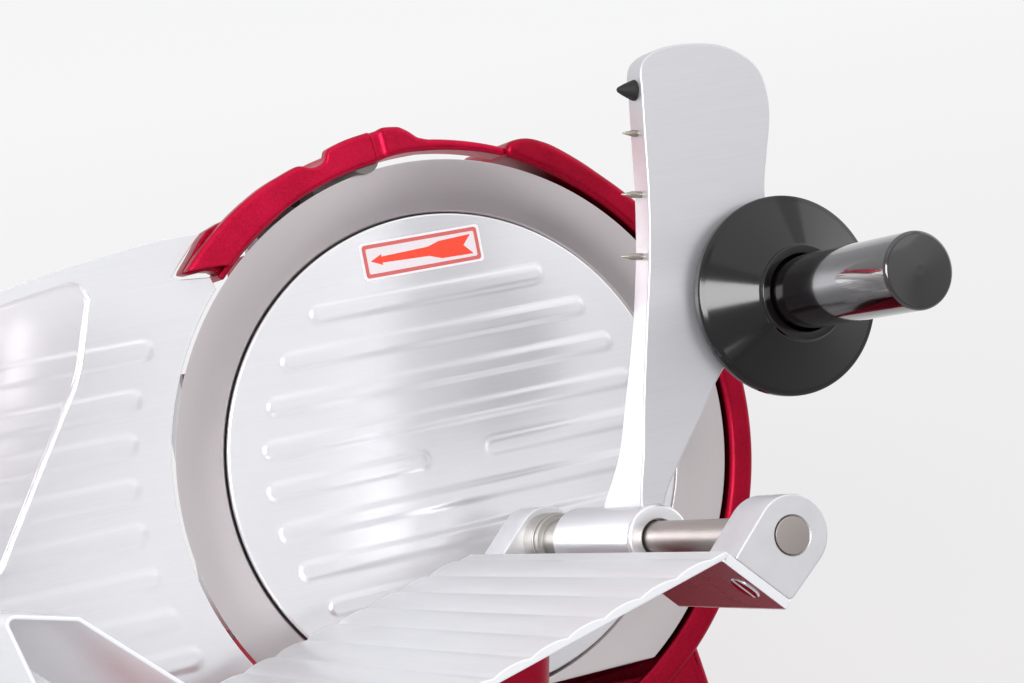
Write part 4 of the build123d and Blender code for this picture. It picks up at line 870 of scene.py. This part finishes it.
# %% [markdown]
# ## Handle
# The hand holds a black grip, and a shield below it keeps the fingers from the blade. They could be
# modelled with loops and Bevel. Both are round one axis, so a profile with a radius for every corner is
# enough.

# %% Turn the handle
GRIP = (84.5, 38.8)
shield = ((4.1, 140), (15, 140), (15, 146), (33, 143.2), (38.7, 143.2), (38.7, 147.2))
shield += ((36.4, 148.2), (18.6, 158.4), (18.2, 160.2), (14.8, 160.2), (14.3, 158), (4.1, 158))
shield = rounded(shield, (0.2, 0.6, 2, 3, 1.2, 1.2, 6, 1.2, 0.7, 0.7, 0.3, 0.2), 8)
stack("handle_shield", turned(shield, *GRIP, around=256), BLACK, "pusher", "handle_black", closed=True,
      nodes=("handle_guard",), crease=50)
grip = rounded(((6, 158.6), (14.2, 158.6), (14.2, 240.4), (2, 241)), (0.1, 0.4, 1.7, 0.1), 8, False)
stack("grip", turned(grip, *GRIP, around=192), GRIP_BLACK, "pusher", "handle_black", nodes=("handle_grip",))

# %% [markdown]
# ## Clear guard
# A clear plate stands on the fence between the hand and the blade. A single face would bend no light and
# show no edge, so it is a closed plate.

# %% Stand the clear guard on the lip
def on_lip(u, height=0.0):
    """A point above the lip at the top of the fence."""
    slope = (TRAY_LIP - TRAY_HIGH)[1] / (TRAY_LIP - TRAY_HIGH)[0]
    return (u, TRAY_HIGH[1] + (u - TRAY_HIGH[0]) * slope + height)


guard = (on_lip(-255, 0.3), (-266, 40), (-262, 80), (-195, 92), (-163.5, 97), (-161, 88), (-171, 59))
guard += ((-193, 26), (-214, -6), on_lip(-233.5, 0.3))
guard = rounded(guard, (1, 30, 20, 40, 7, 6, 60, 60, 8, 1), 10)
stack("clear_guard", plate(guard, 57.5, 62.5, 2.2, 6), CLEAR, "carriage", "clear_acrylic",
      nodes=("hand_guard",))

# %% [markdown]
# ## Pieces that keep their CAD shape
# CAD already describes the base, motor, rails and knobs well. They could be drawn again like the rest. It
# is enough to shade them smooth and give each its finish.

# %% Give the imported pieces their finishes
KEPT = {
    RED: ("base_casting", "motor_cover", "carriage_arm"),
    STAINLESS: ("bottom_plate", "switch_plate", "slice_deflector", "guard_bracket"),
    ZINC: ("bottom_screws", "motor_screws", "blade_screws", "guard_screws"),
    RUBBER: ("foot_front_left", "foot_front_right", "foot_rear_left", "foot_rear_right", "drive_belt"),
    CROSS_STEEL: ("carriage_rail", "guide_rail", "gauge_cam"),
    ROD_STEEL: ("gauge_rods", "spindle", "motor_shaft", "cover_tie_rod", "spindle_bearings"),
    MOULDED: ("cable_gland", "switch_housing", "thickness_knob", "tie_rod_knob", "tray_lock_knob",
              "grinding_button", "deburring_button"),
    CAST: ("blade_pulley", "motor_pulley", "gauge_bracket", "gauge_frame", "sharpener_frame", "dial_plate"),
    GREEN: ("start_button",),
    STOP_RED: ("stop_button",),
    MOTOR_PAINT: ("motor",),
    ABRASIVE: ("grinding_wheel", "deburring_wheel"),
    BRONZE: ("carriage_bushes",),
    NYLON: ("guide_shoe",),
}
for material, names in KEPT.items():
    for name in names:
        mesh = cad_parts[name].data
        mesh.materials.clear()
        mesh.materials.append(material)
        mesh.shade_smooth()
        mesh.set_sharp_from_angle(angle=np.radians(30))
print("packed pieces", sum(len(names) for names in KEPT.values()))

# %% [markdown]
# ## Room
# Polished metal shows mostly its surroundings. A panorama image would bring its own picture. Here the
# world is pale and even, and only what is seen directly or in a mirror has darker places.

# %% Build the room
def matrix(right, up, back, place):
    """The matrix whose columns are three axes and a place."""
    return Matrix(np.vstack((np.column_stack((right, up, back, place)), (0, 0, 0, 1))).tolist())


world = bpy.data.worlds.new("room")
bpy.context.scene.world = world
room = Shader("room", world)
ORIGIN, RIGHTWARDS, UPWARDS = (0, 0, 0), (1, 0, 0), (0, 0, 1)
front = room.sum("MAXIMUM", room.along(ORIGIN, (0, -1, 0)), 0.0)
right = room.step(room.along(ORIGIN, RIGHTWARDS), 0.0, 0.4)
far_right = room.step(room.along(ORIGIN, RIGHTWARDS), 0.34, 0.5)
high = room.step(room.along(ORIGIN, UPWARDS), 0.3, 0.46)
dim = room.node("Background", {"Color": (0.93, 0.94, 0.96, 1), "Strength": 0.62})
shade = (1 - right) * 0.35 + far_right * (1 - high) * 0.45
seen = room.node("Background", {"Color": (0.97, 0.97, 0.98, 1), "Strength": 0.97 - front * shade})
room.node("OutputWorld", {"Surface": room.node("MixShader", {0: room.directly_seen(), 1: dim, 2: seen})})
print("room nodes", len(world.node_tree.nodes))

# %% [markdown]
# ## Light
# A large panel from the upper left draws long highlights on the ribs, and one overhead keeps the shadows
# pale. Spot lamps would leave hard dots. Two weak ones at the right lift the ring and the arm.

# %% Hang the light panels
def panel(name, place, aim, wide, high, power):
    """A soft rectangular light at a place, turned towards a point; both are (x, y, z) in metres."""
    light = bpy.data.lights.new(name, "AREA")
    light.shape, light.size, light.size_y, light.energy = "RECTANGLE", wide, high, power
    lamp = bpy.data.objects.new(name, light)
    bpy.context.collection.objects.link(lamp)
    back = unit(np.subtract(place, aim).astype(float))
    right = unit(np.cross((0, 0, 1), back))
    lamp.matrix_world = matrix(right, np.cross(back, right), back, place)
    print(f"{name}: {power} W from {place}")


panel("key_panel", (-0.73, -1.1, 1.15), (0.17, -0.08, 0.31), 1.1, 0.5, 19)
panel("top_panel", (0.1, -0.2, 2.2), (0.1, 0, 0.2), 2.6, 2.0, 7)
panel("right_panel", (1.9, -0.2, 1.0), (0.1, 0, 0.2), 1.4, 1.6, 5)
panel("strip_panel", (0.89, -1.2, 1.19), (0.17, -0.08, 0.31), 0.5, 0.15, 0.15)

# %% [markdown]
# ## Floor
# The machine stands on white paper. A studio would use a curved backdrop. Here a flat floor mixes matt
# paper, which takes the shadows, with a glow that grows with distance.

# %% Lay the paper floor
HALF, GLOW_SHARE = 6, 0.78
floor_mesh = bpy.data.meshes.new("floor")
floor_corners = [(-HALF, -HALF, 0), (HALF, -HALF, 0), (HALF, HALF, 0), (-HALF, HALF, 0)]
floor_mesh.from_pydata(floor_corners, [], [(0, 1, 2, 3)])
floor = bpy.data.objects.new("floor", floor_mesh)
bpy.context.collection.objects.link(floor)
paper = Shader("floor_white")
white = paper.between(paper.noise(3.0), (0.8, 0.8, 0.81), (0.83, 0.83, 0.84))
matt = paper.node("BsdfPrincipled", {"Base Color": white, "Roughness": 0.6})
depth = paper.along(ORIGIN, (0, 1, 0))
whiter = paper.between(paper.spread(depth, 0, 1, 0.0, 1.15), tint(238, 236, 237), tint(255, 255, 255))
glow = paper.node("Emission", {"Color": whiter, "Strength": paper.spread(depth, 0.5, 1, -0.9, 0.0)})
share = paper.directly_seen() * GLOW_SHARE
paper.node("OutputMaterial", {"Surface": paper.node("MixShader", {0: share, 1: matt, 2: glow})})
floor_mesh.materials.append(paper.material)
print("floor", 2 * HALF, "m wide")

# %% [markdown]
# ## Camera
# A long lens looks down from the food side and keeps the blade nearly round. Angles could set it, but
# three written axes also say which way is up.

# %% Set the camera
optics = bpy.data.cameras.new("camera")
camera = bpy.data.objects.new("camera", optics)
bpy.context.collection.objects.link(camera)
optics.lens, optics.sensor_width = 91.78, 36
optics.clip_start, optics.clip_end = 0.05, 50
right, up, back = (0.8969, -0.4423, 0.0), (0.1768, 0.3589, 0.9165), (-0.4054, -0.8220, 0.4002)
camera.matrix_world = matrix(right, up, back, (CENTRE + (-419.4, -897.7, 483.8)) / 1000)
bpy.context.scene.camera = camera
bpy.context.scene.view_settings.view_transform = "Standard"
print("camera at", camera.matrix_world.translation)
